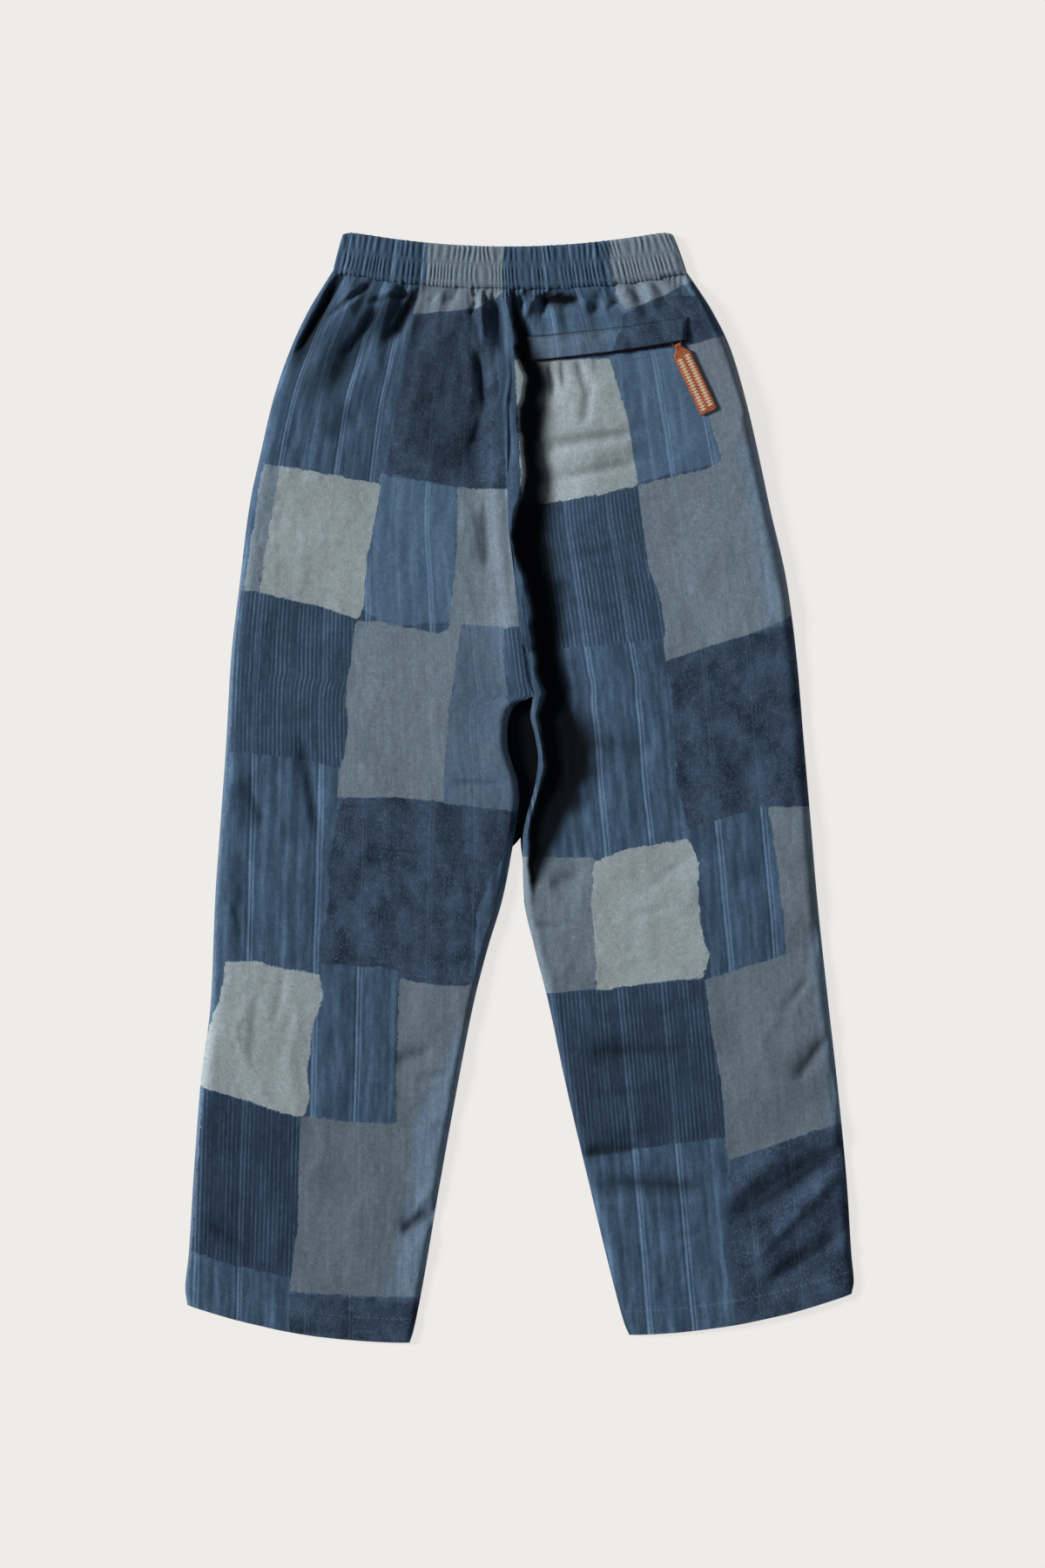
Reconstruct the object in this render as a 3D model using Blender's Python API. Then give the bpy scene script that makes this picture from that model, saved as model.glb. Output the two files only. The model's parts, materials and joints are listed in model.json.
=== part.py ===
"""Patchwork trousers with an elasticated waist, lying flat with the back up.

Each cut piece is one closed wall of cloth. The two front panels and the front half of the
waistband lie flat on the surface at Z = 0; the back panels lie on them and rise between the
seams. +Y runs to the waist, +X to the wearer's right, and the origin is under the middle of
the garment's box. Lengths in this file are in millimetres and are turned into metres when a
mesh is made.
"""

import math

import bmesh
import bpy
import numpy as np
from mathutils import Matrix, Vector

MM = 0.001

# Thickness of the cloth, of the gathered casing, and the gap that parts two sewn pieces
CLOTH = 1.2
CASING = 3.0
SEAM_GAP = 0.3
REST = CLOTH + SEAM_GAP + CLOTH  # upper face of a back panel where it lies on the front panel

# Edges of the panels as (x, y), from the waist to the hem
SIDE_LEFT = [
    (-168, 466), (-175, 455), (-189, 432), (-206, 396), (-222, 349), (-233, 302),
    (-243, 255), (-252, 184), (-260, 114), (-264, 43), (-269, -27), (-274, -98),
    (-278, -192), (-287, -263), (-294, -357), (-298, -420), (-301, -450), (-299, -465),
]
SIDE_RIGHT = [
    (151, 464), (160, 451), (174, 429), (190, 396), (204, 349), (215, 302),
    (225, 255), (241, 184), (250, 114), (256, 43), (262, -27), (268, -98),
    (278, -192), (286, -263), (295, -357), (299, -420), (301, -444), (299, -455),
]
SEAT_SEAM = [
    (-15, 451), (-10, 412), (-8, 373), (-11, 334), (-11, 287), (-10, 239),
    (-5, 192), (0, 145), (7, 98), (12, 83),
]
INSEAM_LEFT = [
    (12, 83), (-1, 77), (-8, 68), (-11, 55), (-11, 42), (-7, 23), (-2, 8), (0, -8),
    (-2, -26), (-6, -51), (-15, -98), (-29, -145), (-41, -192), (-55, -263),
    (-72, -357), (-88, -451), (-96, -490), (-99, -499),
]
INSEAM_RIGHT = [
    (12, 83), (10, 66), (14, 47), (17, 27), (15, 8), (11, -10), (6, -27), (3, -47),
    (3, -67), (4, -98), (14, -145), (26, -192), (41, -263), (63, -357),
    (86, -451), (95, -483), (99, -492),
]
# The front panels' centre seam runs lower, to where the gap between the legs opens
FRONT_SEAM = [(-15, 451), (-11, 360), (-7, 240), (-3, 100), (1, -20), (1, -46)]

CROTCH_V = 0.38  # share of a back panel's rows that lie above the crotch
FRONT_CROTCH_V = 0.52
WAIST_BOW = 3.7  # how far a row of cloth sags below the straight line, at the waist
HEM_BOW = 8.5  # and at the hem
HEM_DEPTH = 20.0
HEM_STEP = 0.8  # the turned-up hem stands this much proud
RIM_WIDTH = 20.0  # cloth rises to its full height this far in from a side seam
INSEAM_RIM = 14.0

# How high the back stands over its seams: share of the way down, height
LOFT = [
    (0.0, 4.2), (0.03, 9.5), (0.1, 11.0), (0.25, 10.0), (0.4, 8.0),
    (0.6, 6.5), (0.8, 5.5), (0.95, 4.0), (1.0, 2.6),
]

# Relief beside the seat seam and the inseam: distance from the edge, height
SEAT_RELIEF_LEFT = [(0, 6.0), (8, 5.5), (18, 2.0), (30, 0.0), (400, 0.0)]
SEAT_RELIEF_RIGHT = [
    (0, 6.0), (6, 6.0), (11, 2.0), (19, -7.0), (32, -6.5), (52, -3.0), (78, 0.0), (400, 0.0),
]
THIGH_RELIEF_RIGHT = [
    (0, 0.0), (7, 6.0), (13, 0.0), (24, -5.5), (46, -5.0), (68, -1.5), (88, 0.0), (400, 0.0),
]
# How strong that relief is: share of the way down, strength
SEAT_STRENGTH = [(0.0, 0.35), (0.025, 1.0), (0.36, 1.0), (0.40, 0.0), (1.0, 0.0)]
THIGH_STRENGTH = [(0.0, 0.0), (0.36, 0.0), (0.40, 1.0), (0.47, 0.9), (0.62, 0.0), (1.0, 0.0)]

# The largest folds of the back, as troughs (negative height) and ridges
FOLD_COLUMNS = ("start_x", "start_y", "end_x", "end_y", "half_width", "height")
FOLDS = [
    (-156, 466, -206, 372, 7, -5.0),  # down the left hip
    (-142, 456, -186, 372, 7, 3.0),
    (-113, 442, -176, 350, 9, -4.0),
    (-91, 454, -113, 398, 6, -4.5),
    (-21, 442, -44, 302, 8, -5.0),  # left of the seat seam
    (-34, 250, -27, 195, 8, -2.5),
    (-145, 340, -170, 312, 10, -2.5),
    (12, 438, 58, 445, 7, -6.0),  # hollow under the band, right of the seam
    (73, 453, 66, 424, 6, -3.0),
    (25, 295, 112, 310, 7, 1.6),
    (-246, 10, -228, -38, 10, -2.5),  # thighs and knees
    (-197, 51, -180, -46, 7, -1.8),
    (81, 43, 120, 31, 12, -2.0),
    (28, -89, 57, -75, 10, -2.0),
    (-113, -245, -79, -236, 9, -2.0),  # left calf
    (-106, -399, -76, -381, 9, -3.0),
    (-281, -390, -230, -421, 11, -2.2),
    (60, -238, 156, -236, 10, -2.5),  # right calf
    (55, -331, 113, -322, 9, -3.0),
    (80, -353, 175, -360, 9, -3.2),
    (75, -374, 165, -376, 8, 1.8),
    (190, -390, 291, -323, 11, -3.6),
    (219, -448, 294, -395, 10, -3.2),
    (208, -425, 289, -342, 9, 2.8),
    (174, -383, 243, -319, 9, 2.8),
    (248, -264, 279, -221, 10, -2.4),
]
GATHER_FOLDS = 8  # large gathers that run down from the band on each back panel
GATHER_HEIGHT = 1.8
GATHER_REACH = 0.03  # share of the way down at which they have mostly died away

# Grid lines of the back panels, as (start, end, cells) along a row and down the leg
LEFT_COLUMNS = [(0.0, 0.08, 3), (0.08, 0.85, 16), (0.85, 1.0, 5)]
RIGHT_COLUMNS = [(0.0, 0.07, 4), (0.07, 0.815, 15), (0.815, 0.84, 1), (0.84, 1.0, 5)]
WELT_COLUMNS = (4, 20)  # the right panel's columns that the pocket welt covers
BACK_ROWS = [
    (0.0, 0.047, 5), (0.047, 0.07, 3), (0.07, 0.38, 14), (0.38, 0.62, 9),
    (0.62, 0.979, 15), (0.979, 1.0, 1),
]
WELT_ROWS = (5, 8)
WELT_END = (0.84, 150.0)  # the column at the welt's outer end, and the x that it is drawn to
SIDE_ROW_POWER = 1.06  # makes rows of the right panel climb towards the side, as the pocket does

# Waistband: half of a gathered casing, seen from the back
BAND_TOP_LEFT = (-159, 502.3)
BAND_TOP_RIGHT = (138, 502.3)
BAND_TOP_BOW = 14.5
BAND_RIDGES = 48
BAND_COLUMNS_PER_RIDGE = 4
BAND_RIDGE_HEIGHT = 1.3
BAND_FACE = 6.5  # mean height of the back band's outer face
# Share of the way down the band, share of the ridges' height: pinched at the two stitch lines
BAND_PINCH = [(0.0, 0.6), (0.2, 1.0), (0.43, 0.2), (0.68, 1.0), (0.92, 0.3), (1.0, 0.9)]
BAND_END = 12.0  # the band rounds over this far in from its folded ends

# Pocket: a welt that covers a zip, above the panel's own face
POCKET_FACE = 13.0  # the panel is level here, so that the pull lies on it
POCKET_CENTRE = (152, 374)
POCKET_REACH = (26.0, 50.0)  # half sizes of the level area, across and along the pull
POCKET_FADE = 16.0
WELT_THICKNESS = 1.4
WELT_LIFT = [0.3, 2.0, 3.0, 3.0]  # underside over the panel at each of its rows
TAPE_THICKNESS = 0.5

# Leather pull, hinged on the slider's wire
PULL_ANGLE = 25.4  # turned this far from straight down, in degrees
PULL_LENGTH = 65.5  # from the axis to the free end
PULL_WIDTH = 16.5
PULL_NECK = 6.0
PULL_THICKNESS = 2.0
PULL_SHOULDERS = (3.0, 9.5)  # the strap widens between these distances from the axis
EYE_OUTER = 1.7
EYE_BORE = 0.85
WIRE_RADIUS = 0.5
AXIS_LIFT = 2.1  # the axis over the panel
AXIS_X = 142.0
AXIS_TO_WELT = 3.9  # from the welt's lip to the axis, along the strap
SLIDER_SIZE = (4.4, 8.8, 1.6)  # along the strap, across it, thick
SLIDER_LIFT = 1.1

COLOURS = {
    "blue_cloth": ((0.070, 0.120, 0.200), 0.92, 0.0),
    "band_cloth": ((0.055, 0.085, 0.135), 0.92, 0.0),
    "brown_leather": ((0.230, 0.075, 0.028), 0.55, 0.0),
    "zip_tape": ((0.012, 0.014, 0.022), 0.85, 0.0),
    "dark_metal": ((0.090, 0.080, 0.070), 0.38, 1.0),
}


def clear_scene():
    for thing in list(bpy.data.objects):
        bpy.data.objects.remove(thing, do_unlink=True)


def collection(name):
    made = bpy.data.collections.new(name)
    bpy.context.scene.collection.children.link(made)
    return made


def material(name):
    colour, roughness, metallic = COLOURS[name]
    made = bpy.data.materials.get(name)
    if made is None:
        made = bpy.data.materials.new(name)
        made.use_nodes = True
        shader = made.node_tree.nodes["Principled BSDF"]
        shader.inputs["Base Color"].default_value = (*colour, 1.0)
        shader.inputs["Roughness"].default_value = roughness
        shader.inputs["Metallic"].default_value = metallic
    return made


def eased(share):
    share = np.clip(share, 0.0, 1.0)
    return share * share * (3.0 - 2.0 * share)


def through(points):
    """A smooth function through (argument, value) pairs that never overshoots them."""
    places, values = np.array(sorted(points), float).T
    steps = np.diff(places)
    slopes = np.diff(values) / steps
    tangents = np.zeros(len(places))
    same_way = slopes[:-1] * slopes[1:] > 0
    inner = np.zeros(len(slopes) - 1)
    inner[same_way] = 2 * slopes[:-1][same_way] * slopes[1:][same_way] / (slopes[:-1] + slopes[1:])[same_way]
    tangents[1:-1] = inner
    tangents[0], tangents[-1] = slopes[0], slopes[-1]

    def value(argument):
        argument = np.clip(np.asarray(argument, float), places[0], places[-1])
        span = np.clip(np.searchsorted(places, argument) - 1, 0, len(steps) - 1)
        width = steps[span]
        t = (argument - places[span]) / width
        start, end = values[span], values[span + 1]
        return (
            start * (1 + 2 * t) * (1 - t) ** 2
            + end * t * t * (3 - 2 * t)
            + tangents[span] * width * t * (1 - t) ** 2
            - tangents[span + 1] * width * t * t * (1 - t)
        )

    return value


def edge(points):
    """x along an edge, as a function of y."""
    return through([(y, x) for x, y in points])


def grid_lines(spans):
    parts = [np.linspace(start, end, cells + 1)[:-1] for start, end, cells in spans]
    return np.append(np.concatenate(parts), spans[-1][1])


class Panel:
    """One leg's panel: u runs from its inner edge to its side seam, v from the waist to the hem."""

    def __init__(self, inner, side, crotch_v, half_gap=0.5 * SEAM_GAP, row_power=1.0):
        self.inner, self.side = edge(inner), edge(side)
        self.waist, self.crotch, self.hem = inner[0][1], None, inner[-1][1]
        self.side_waist, self.side_hem = side[0][1], side[-1][1]
        self.outwards = math.copysign(1.0, side[0][0])
        self.crotch_v, self.half_gap, self.row_power = crotch_v, half_gap, row_power

    def with_crotch(self, y):
        self.crotch = y
        return self

    def inner_y(self, v):
        above = self.waist + (self.crotch - self.waist) * v / self.crotch_v
        below = self.crotch + (self.hem - self.crotch) * (v - self.crotch_v) / (1 - self.crotch_v)
        return np.where(v < self.crotch_v, above, below)

    def plan(self, u, v):
        """x and y of a point of the panel, and the width of its row."""
        y_in = self.inner_y(v)
        y_out = self.side_waist + (self.side_hem - self.side_waist) * v**self.row_power
        x_in = self.inner(y_in) + self.outwards * self.half_gap
        x_out = self.side(y_out)
        bow = (WAIST_BOW + (HEM_BOW - WAIST_BOW) * v) * 4 * u * (1 - u)
        return x_in + (x_out - x_in) * u, y_in + (y_out - y_in) * u - bow, np.abs(x_out - x_in)


def make_panels():
    left = Panel(SEAT_SEAM + INSEAM_LEFT[1:], SIDE_LEFT, CROTCH_V)
    right = Panel(SEAT_SEAM + INSEAM_RIGHT[1:], SIDE_RIGHT, CROTCH_V, row_power=SIDE_ROW_POWER)
    crotch = SEAT_SEAM[-1][1]
    front_crotch = FRONT_SEAM[-1][1]
    front_left = Panel(FRONT_SEAM + INSEAM_LEFT[9:], SIDE_LEFT, FRONT_CROTCH_V)
    front_right = Panel(FRONT_SEAM + INSEAM_RIGHT[8:], SIDE_RIGHT, FRONT_CROTCH_V)
    return (
        left.with_crotch(crotch),
        right.with_crotch(crotch),
        front_left.with_crotch(front_crotch),
        front_right.with_crotch(front_crotch),
    )


def fold_relief(x, y):
    """Sum of the folds: each is a soft trough or ridge that fades at its two ends."""
    total = np.zeros_like(x)
    for row in FOLDS:
        fold = dict(zip(FOLD_COLUMNS, row))
        run = np.array([fold["end_x"] - fold["start_x"], fold["end_y"] - fold["start_y"]], float)
        length = np.hypot(*run)
        along = ((x - fold["start_x"]) * run[0] + (y - fold["start_y"]) * run[1]) / length
        across = ((x - fold["start_x"]) * run[1] - (y - fold["start_y"]) * run[0]) / length
        beyond = np.maximum(np.maximum(-along, along - length), 0.0) / fold["half_width"]
        fade = eased(np.minimum(along, length - along) / (0.35 * length) + 0.25)
        shape = np.exp(-((across / fold["half_width"]) ** 2) - beyond**2)
        total += fold["height"] * shape * fade
    return total


def pull_direction():
    turn = math.radians(PULL_ANGLE)
    return np.array([math.sin(turn), -math.cos(turn)])


def level_share(x, y):
    """1 over the level area around the pocket's pull, fading to 0 outside it."""
    along = pull_direction()
    dx, dy = x - POCKET_CENTRE[0], y - POCKET_CENTRE[1]
    lengthways = np.abs(dx * along[0] + dy * along[1])
    crossways = np.abs(dx * along[1] - dy * along[0])
    outside = np.maximum(crossways - POCKET_REACH[0], lengthways - POCKET_REACH[1])
    return 1.0 - eased(outside / POCKET_FADE)


def back_height(panel, u, v):
    """Height of a back panel's outer face."""
    x, y, width = panel.plan(u, v)
    from_inner, from_side = u * width, (1 - u) * width
    on_inseam = eased((v - panel.crotch_v) / 0.015)
    side_rim = eased(from_side / RIM_WIDTH)
    inner_rim = 1.0 - on_inseam * (1.0 - eased(from_inner / INSEAM_RIM))
    seat, thigh = through(SEAT_STRENGTH)(v), through(THIGH_STRENGTH)(v)
    if panel.outwards < 0:
        relief = seat * through(SEAT_RELIEF_LEFT)(from_inner)
    else:
        relief = seat * through(SEAT_RELIEF_RIGHT)(from_inner)
        relief = relief + thigh * through(THIGH_RELIEF_RIGHT)(from_inner)
    gathers = GATHER_HEIGHT * np.exp(-v / GATHER_REACH) * np.cos(2 * math.pi * GATHER_FOLDS * u)
    lift = through(LOFT)(v) + relief + gathers + fold_relief(x, y)
    z = REST + side_rim * inner_rim * lift
    if panel.outwards > 0:
        level = level_share(x, y) * side_rim
        z = z * (1 - level) + POCKET_FACE * level
    hem = HEM_STEP * eased(((v - 1.0) * (panel.side_waist - panel.side_hem) + HEM_DEPTH) / 2.0 + 0.5)
    return np.maximum(z, REST) + hem


def slab(name, top, bottom, colour, parts):
    """A closed wall: a grid of points in mm whose faces are top and bottom, each [column, row, xyz]."""
    columns, rows = top.shape[0] - 1, top.shape[1] - 1
    shape = bmesh.new()
    bmesh.ops.create_grid(shape, x_segments=columns, y_segments=rows, size=1.0)
    lower = list(shape.verts)
    cells = [(round((v.co.x + 1) / 2 * columns), round((v.co.y + 1) / 2 * rows)) for v in lower]
    raised = bmesh.ops.extrude_face_region(shape, geom=shape.faces[:], use_keep_orig=True)
    upper = [v for v in raised["geom"] if isinstance(v, bmesh.types.BMVert)]
    upper_cells = [(round((v.co.x + 1) / 2 * columns), round((v.co.y + 1) / 2 * rows)) for v in upper]
    for vertex, cell in zip(lower, cells):
        vertex.co = bottom[cell] * MM
    for vertex, cell in zip(upper, upper_cells):
        vertex.co = top[cell] * MM
    bmesh.ops.recalc_face_normals(shape, faces=shape.faces[:])
    mesh = bpy.data.meshes.new(name)
    shape.to_mesh(mesh)
    shape.free()
    mesh.shade_smooth()
    mesh.set_sharp_from_angle(angle=math.radians(50))
    mesh.materials.append(material(colour))
    made = bpy.data.objects.new(name, mesh)
    parts.objects.link(made)
    return made


def upright_share(points):
    """How much of a grid's surface normal points up, at each of its points."""
    along, across = np.gradient(points, axis=0), np.gradient(points, axis=1)
    normal = np.cross(along, across)
    return np.abs(normal[..., 2]) / np.linalg.norm(normal, axis=-1)


def drawn_to_pocket(panel, u, v):
    """Shift the columns so that the welt's end is upright, as it is sewn."""
    share, end_x = WELT_END
    x_in, _, _ = panel.plan(np.zeros_like(v), v)
    x_out, _, _ = panel.plan(np.ones_like(v), v)
    target = np.clip((end_x - x_in) / (x_out - x_in), 0.5, 0.95)
    near = 1.0 - eased(np.maximum(0.04 - v, v - 0.08) / 0.05 + 0.1)
    return u ** (1 + near * (np.log(target) / math.log(share) - 1))


def back_panel(name, panel, columns, parts):
    u, v = np.meshgrid(grid_lines(columns), grid_lines(BACK_ROWS), indexing="ij")
    if panel.outwards > 0:
        u = drawn_to_pocket(panel, u, v)
    x, y, _ = panel.plan(u, v)
    top = np.stack([x, y, back_height(panel, u, v)], axis=-1)
    wall = np.minimum(CLOTH / upright_share(top), 2.2 * CLOTH)
    bottom = top.copy()
    bottom[..., 2] = np.maximum(top[..., 2] - wall, CLOTH + SEAM_GAP)
    slab(name, top, bottom, "blue_cloth", parts)
    return top


def front_panel(name, panel, parts):
    u, v = np.meshgrid(np.linspace(0, 1, 6), np.linspace(0, 1, 26), indexing="ij")
    x, y, _ = panel.plan(u, v)
    bottom = np.stack([x, y, np.zeros_like(x)], axis=-1)
    top = bottom + np.array([0, 0, CLOTH])
    slab(name, top, bottom, "blue_cloth", parts)


def waist_seam(x):
    """y of the seam between the band and the panels."""
    centre_x, centre_y = SEAT_SEAM[0]
    end_x, end_y = (SIDE_LEFT if x < centre_x else SIDE_RIGHT)[0]
    u = (x - centre_x) / (end_x - centre_x)
    return centre_y + (end_y - centre_y) * u - WAIST_BOW * 4 * u * (1 - u)


def band_plan(share, down):
    """x and y of the waistband: share runs from its left end to its right, down from top to seam."""
    top_x = BAND_TOP_LEFT[0] + (BAND_TOP_RIGHT[0] - BAND_TOP_LEFT[0]) * share
    top_y = BAND_TOP_LEFT[1] - BAND_TOP_BOW * 4 * share * (1 - share)
    seam_x = SIDE_LEFT[0][0] + (SIDE_RIGHT[0][0] - SIDE_LEFT[0][0]) * share
    seam_y = np.vectorize(waist_seam)(seam_x) + SEAM_GAP + 0.1
    corner = 4.0 * (np.exp(-share * 60) + np.exp(-(1 - share) * 60)) * (1 - down) ** 3
    return top_x + (seam_x - top_x) * down, top_y + (seam_y - top_y) * down - corner


def waistband_back(parts):
    lines = np.linspace(0, 1, BAND_RIDGES * BAND_COLUMNS_PER_RIDGE + 1)
    share, down = np.meshgrid(lines, np.array([t for t, _ in BAND_PINCH]), indexing="ij")
    x, y = band_plan(share, down)
    length = SIDE_RIGHT[0][0] - SIDE_LEFT[0][0]
    from_end = np.minimum(share, 1 - share) * length
    rounding = np.sqrt(np.clip(1 - (1 - np.clip(from_end / BAND_END, 0, 1)) ** 2, 0, 1))
    crown = 1.0 - 0.28 * (1 - eased(down / 0.2))
    wander = 0.35 * np.sin(2 * math.pi * 5 * share) + 0.2 * np.sin(2 * math.pi * 11 * share + 1.0)
    ridge = np.cos(2 * math.pi * (BAND_RIDGES * share + wander))
    size = 0.8 + 0.2 * np.sin(2 * math.pi * 9 * share + 0.7)
    pinch = through(BAND_PINCH)(down)
    inside = CASING + SEAM_GAP
    face = inside + 1.2 + (BAND_FACE - inside - 1.2) * crown * rounding
    z = face + BAND_RIDGE_HEIGHT * size * pinch * ridge * (0.3 + 0.7 * rounding)
    top = np.stack([x, y, np.maximum(z, inside + 0.8)], axis=-1)
    bottom = top.copy()
    bottom[..., 2] = inside
    slab("waistband_back", top, bottom, "band_cloth", parts)


def waistband_front(parts):
    share, down = np.meshgrid(np.linspace(0, 1, 49), np.linspace(0, 1, 3), indexing="ij")
    x, y = band_plan(share, down)
    bottom = np.stack([x, y, np.zeros_like(x)], axis=-1)
    slab("waistband_front", bottom + np.array([0, 0, CASING]), bottom, "band_cloth", parts)


def pocket_welt(face, parts):
    """The strip over the pocket mouth: the panel's own points moved out, with a raised lip."""
    patch = face[WELT_COLUMNS[0] : WELT_COLUMNS[1] + 1, WELT_ROWS[0] : WELT_ROWS[1] + 1]
    lift = np.tile(np.array(WELT_LIFT), (patch.shape[0], 1))
    lift[[0, -1]] = SEAM_GAP
    bottom, top = patch.copy(), patch.copy()
    bottom[..., 2] += lift
    top[..., 2] += lift + WELT_THICKNESS
    slab("pocket_welt", top, bottom, "blue_cloth", parts)
    return patch[:, -1]


def zip_tape(face, parts):
    """The closed zip under the welt, a flat tape on the panel."""
    patch = face[WELT_COLUMNS[0] + 1 : WELT_COLUMNS[1], WELT_ROWS[0] + 1 : WELT_ROWS[1] + 1]
    bottom, top = patch.copy(), patch.copy()
    bottom[..., 2] += SEAM_GAP
    top[..., 2] += SEAM_GAP + TAPE_THICKNESS
    slab("zip_tape", top, bottom, "zip_tape", parts)


def pull_axis(lip):
    """The point on the wire's axis in the middle of the strap, in mm."""
    along = pull_direction()
    lip_y = np.interp(AXIS_X - along[0] * AXIS_TO_WELT, lip[:, 0], lip[:, 1])
    return Vector((AXIS_X, lip_y + along[1] * AXIS_TO_WELT, POCKET_FACE + AXIS_LIFT))


def pull_frame(axis_point, drop):
    """Local X runs down the strap, local Y up, and local Z across it, along the hinge axis."""
    along = pull_direction()
    flat = Vector((along[0], along[1], 0.0))
    forward = (flat * math.cos(drop) - Vector((0, 0, 1)) * math.sin(drop)).normalized()
    across = flat.cross(Vector((0, 0, 1))).normalized()
    up = across.cross(forward).normalized()
    turn = Matrix((forward, up, across)).transposed()
    return Matrix.Translation(axis_point * MM) @ turn.to_4x4()


def cyclic_spline(curve, points):
    spline = curve.splines.new("POLY")
    spline.points.add(len(points) - 1)
    for point, (x, y) in zip(spline.points, points):
        point.co = (x * MM, y * MM, 0.0, 1.0)
    spline.use_cyclic_u = True


def mesh_of(thing):
    """The evaluated mesh of a curve object, welded; the curve is removed."""
    bpy.context.view_layer.update()
    evaluated = thing.evaluated_get(bpy.context.evaluated_depsgraph_get())
    mesh = bpy.data.meshes.new_from_object(evaluated)
    shape = bmesh.new()
    shape.from_mesh(mesh)
    bmesh.ops.remove_doubles(shape, verts=shape.verts[:], dist=0.00001)
    shape.to_mesh(mesh)
    shape.free()
    bpy.data.objects.remove(thing, do_unlink=True)
    return mesh


def leather_pull(axis_point, parts):
    """A folded strap: a long flat profile with a round eye, narrow at the eye and square at its end."""
    half = 0.5 * PULL_THICKNESS
    start = math.asin(half / EYE_OUTER)
    turns = np.linspace(start, 2 * math.pi - start, 13)
    outline = [(EYE_OUTER * math.cos(t), EYE_OUTER * math.sin(t)) for t in turns]
    outline += [
        (PULL_LENGTH - 0.7, -half), (PULL_LENGTH, -half + 0.5),
        (PULL_LENGTH, half - 0.5), (PULL_LENGTH - 0.7, half),
    ]
    bore = [
        (EYE_BORE * math.cos(t), EYE_BORE * math.sin(t))
        for t in np.linspace(0, 2 * math.pi, 13)[:-1]
    ]
    curve = bpy.data.curves.new("leather_pull", "CURVE")
    curve.dimensions = "2D"
    curve.fill_mode = "BOTH"
    curve.extrude = 0.5 * PULL_WIDTH * MM
    cyclic_spline(curve, outline)
    cyclic_spline(curve, bore)
    profile = bpy.data.objects.new("leather_pull_profile", curve)
    parts.objects.link(profile)
    mesh = mesh_of(profile)
    mesh.name = "leather_pull"

    shape = bmesh.new()
    shape.from_mesh(mesh)
    for cut in (*PULL_SHOULDERS, 22.0, 36.0, 50.0):
        everything = shape.verts[:] + shape.edges[:] + shape.faces[:]
        bmesh.ops.bisect_plane(shape, geom=everything, plane_co=(cut * MM, 0, 0), plane_no=(1, 0, 0))
    for vertex in shape.verts:
        place = vertex.co.x / MM
        widened = eased((place - PULL_SHOULDERS[0]) / (PULL_SHOULDERS[1] - PULL_SHOULDERS[0]))
        vertex.co.z *= (PULL_NECK + (PULL_WIDTH - PULL_NECK) * widened) / PULL_WIDTH
    bmesh.ops.recalc_face_normals(shape, faces=shape.faces[:])
    shape.to_mesh(mesh)
    shape.free()
    mesh.shade_smooth()
    mesh.set_sharp_from_angle(angle=math.radians(35))
    mesh.materials.append(material("brown_leather"))
    made = bpy.data.objects.new("leather_pull", mesh)
    end_gap = AXIS_LIFT - half - SEAM_GAP
    made.matrix_world = pull_frame(axis_point, math.asin(end_gap / PULL_LENGTH))
    parts.objects.link(made)


def zip_slider(axis_point, parts, helpers):
    """A flat slider under the welt, with a wire loop that carries the strap's eye."""
    length, width, thickness = SLIDER_SIZE
    place = pull_frame(axis_point, 0.0)
    shape = bmesh.new()
    bmesh.ops.create_cube(shape, size=1.0)
    middle = Vector((-(AXIS_TO_WELT + 0.9 + 0.5 * length), SLIDER_LIFT + 0.5 * thickness - AXIS_LIFT, 0.0))
    for vertex in shape.verts:
        local = Vector((vertex.co.x * length, vertex.co.y * thickness, vertex.co.z * width)) + middle
        vertex.co = local * MM
    mesh = bpy.data.meshes.new("zip_slider")
    shape.to_mesh(mesh)
    shape.free()
    mesh.materials.append(material("dark_metal"))
    body = bpy.data.objects.new("zip_slider", mesh)
    body.matrix_world = place
    parts.objects.link(body)

    side = 0.5 * width - WIRE_RADIUS - 0.1
    root = middle.x
    curve = bpy.data.curves.new("slider_wire", "CURVE")
    curve.dimensions = "3D"
    curve.bevel_depth = WIRE_RADIUS * MM
    curve.bevel_resolution = 2
    curve.use_fill_caps = True
    spline = curve.splines.new("POLY")
    bend = 0.6
    route = [(root, -side), (-bend, -side), (0, -side + bend), (0, side - bend), (-bend, side), (root, side)]
    spline.points.add(len(route) - 1)
    for point, (along, across) in zip(spline.points, route):
        point.co = (along * MM, 0.0, across * MM, 1.0)
    wire = bpy.data.objects.new("slider_wire_line", curve)
    helpers.objects.link(wire)
    wire_mesh = mesh_of(wire)
    loop = bpy.data.objects.new("slider_wire", wire_mesh)
    loop.matrix_world = place
    loop.hide_render = True
    loop.display_type = "WIRE"
    helpers.objects.link(loop)
    join = body.modifiers.new("wire", "BOOLEAN")
    join.operation = "UNION"
    join.solver = "EXACT"
    join.object = loop


def main():
    clear_scene()
    parts = collection("patchwork_trousers")
    helpers = collection("cutters")
    left, right, front_left, front_right = make_panels()
    back_panel("back_left", left, LEFT_COLUMNS, parts)
    right_face = back_panel("back_right", right, RIGHT_COLUMNS, parts)
    front_panel("front_left", front_left, parts)
    front_panel("front_right", front_right, parts)
    waistband_back(parts)
    waistband_front(parts)
    lip = pocket_welt(right_face, parts)
    zip_tape(right_face, parts)
    axis_point = pull_axis(lip)
    leather_pull(axis_point, parts)
    zip_slider(axis_point, parts, helpers)
    print("pull axis at", [round(c * MM, 6) for c in axis_point])


main()
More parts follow.
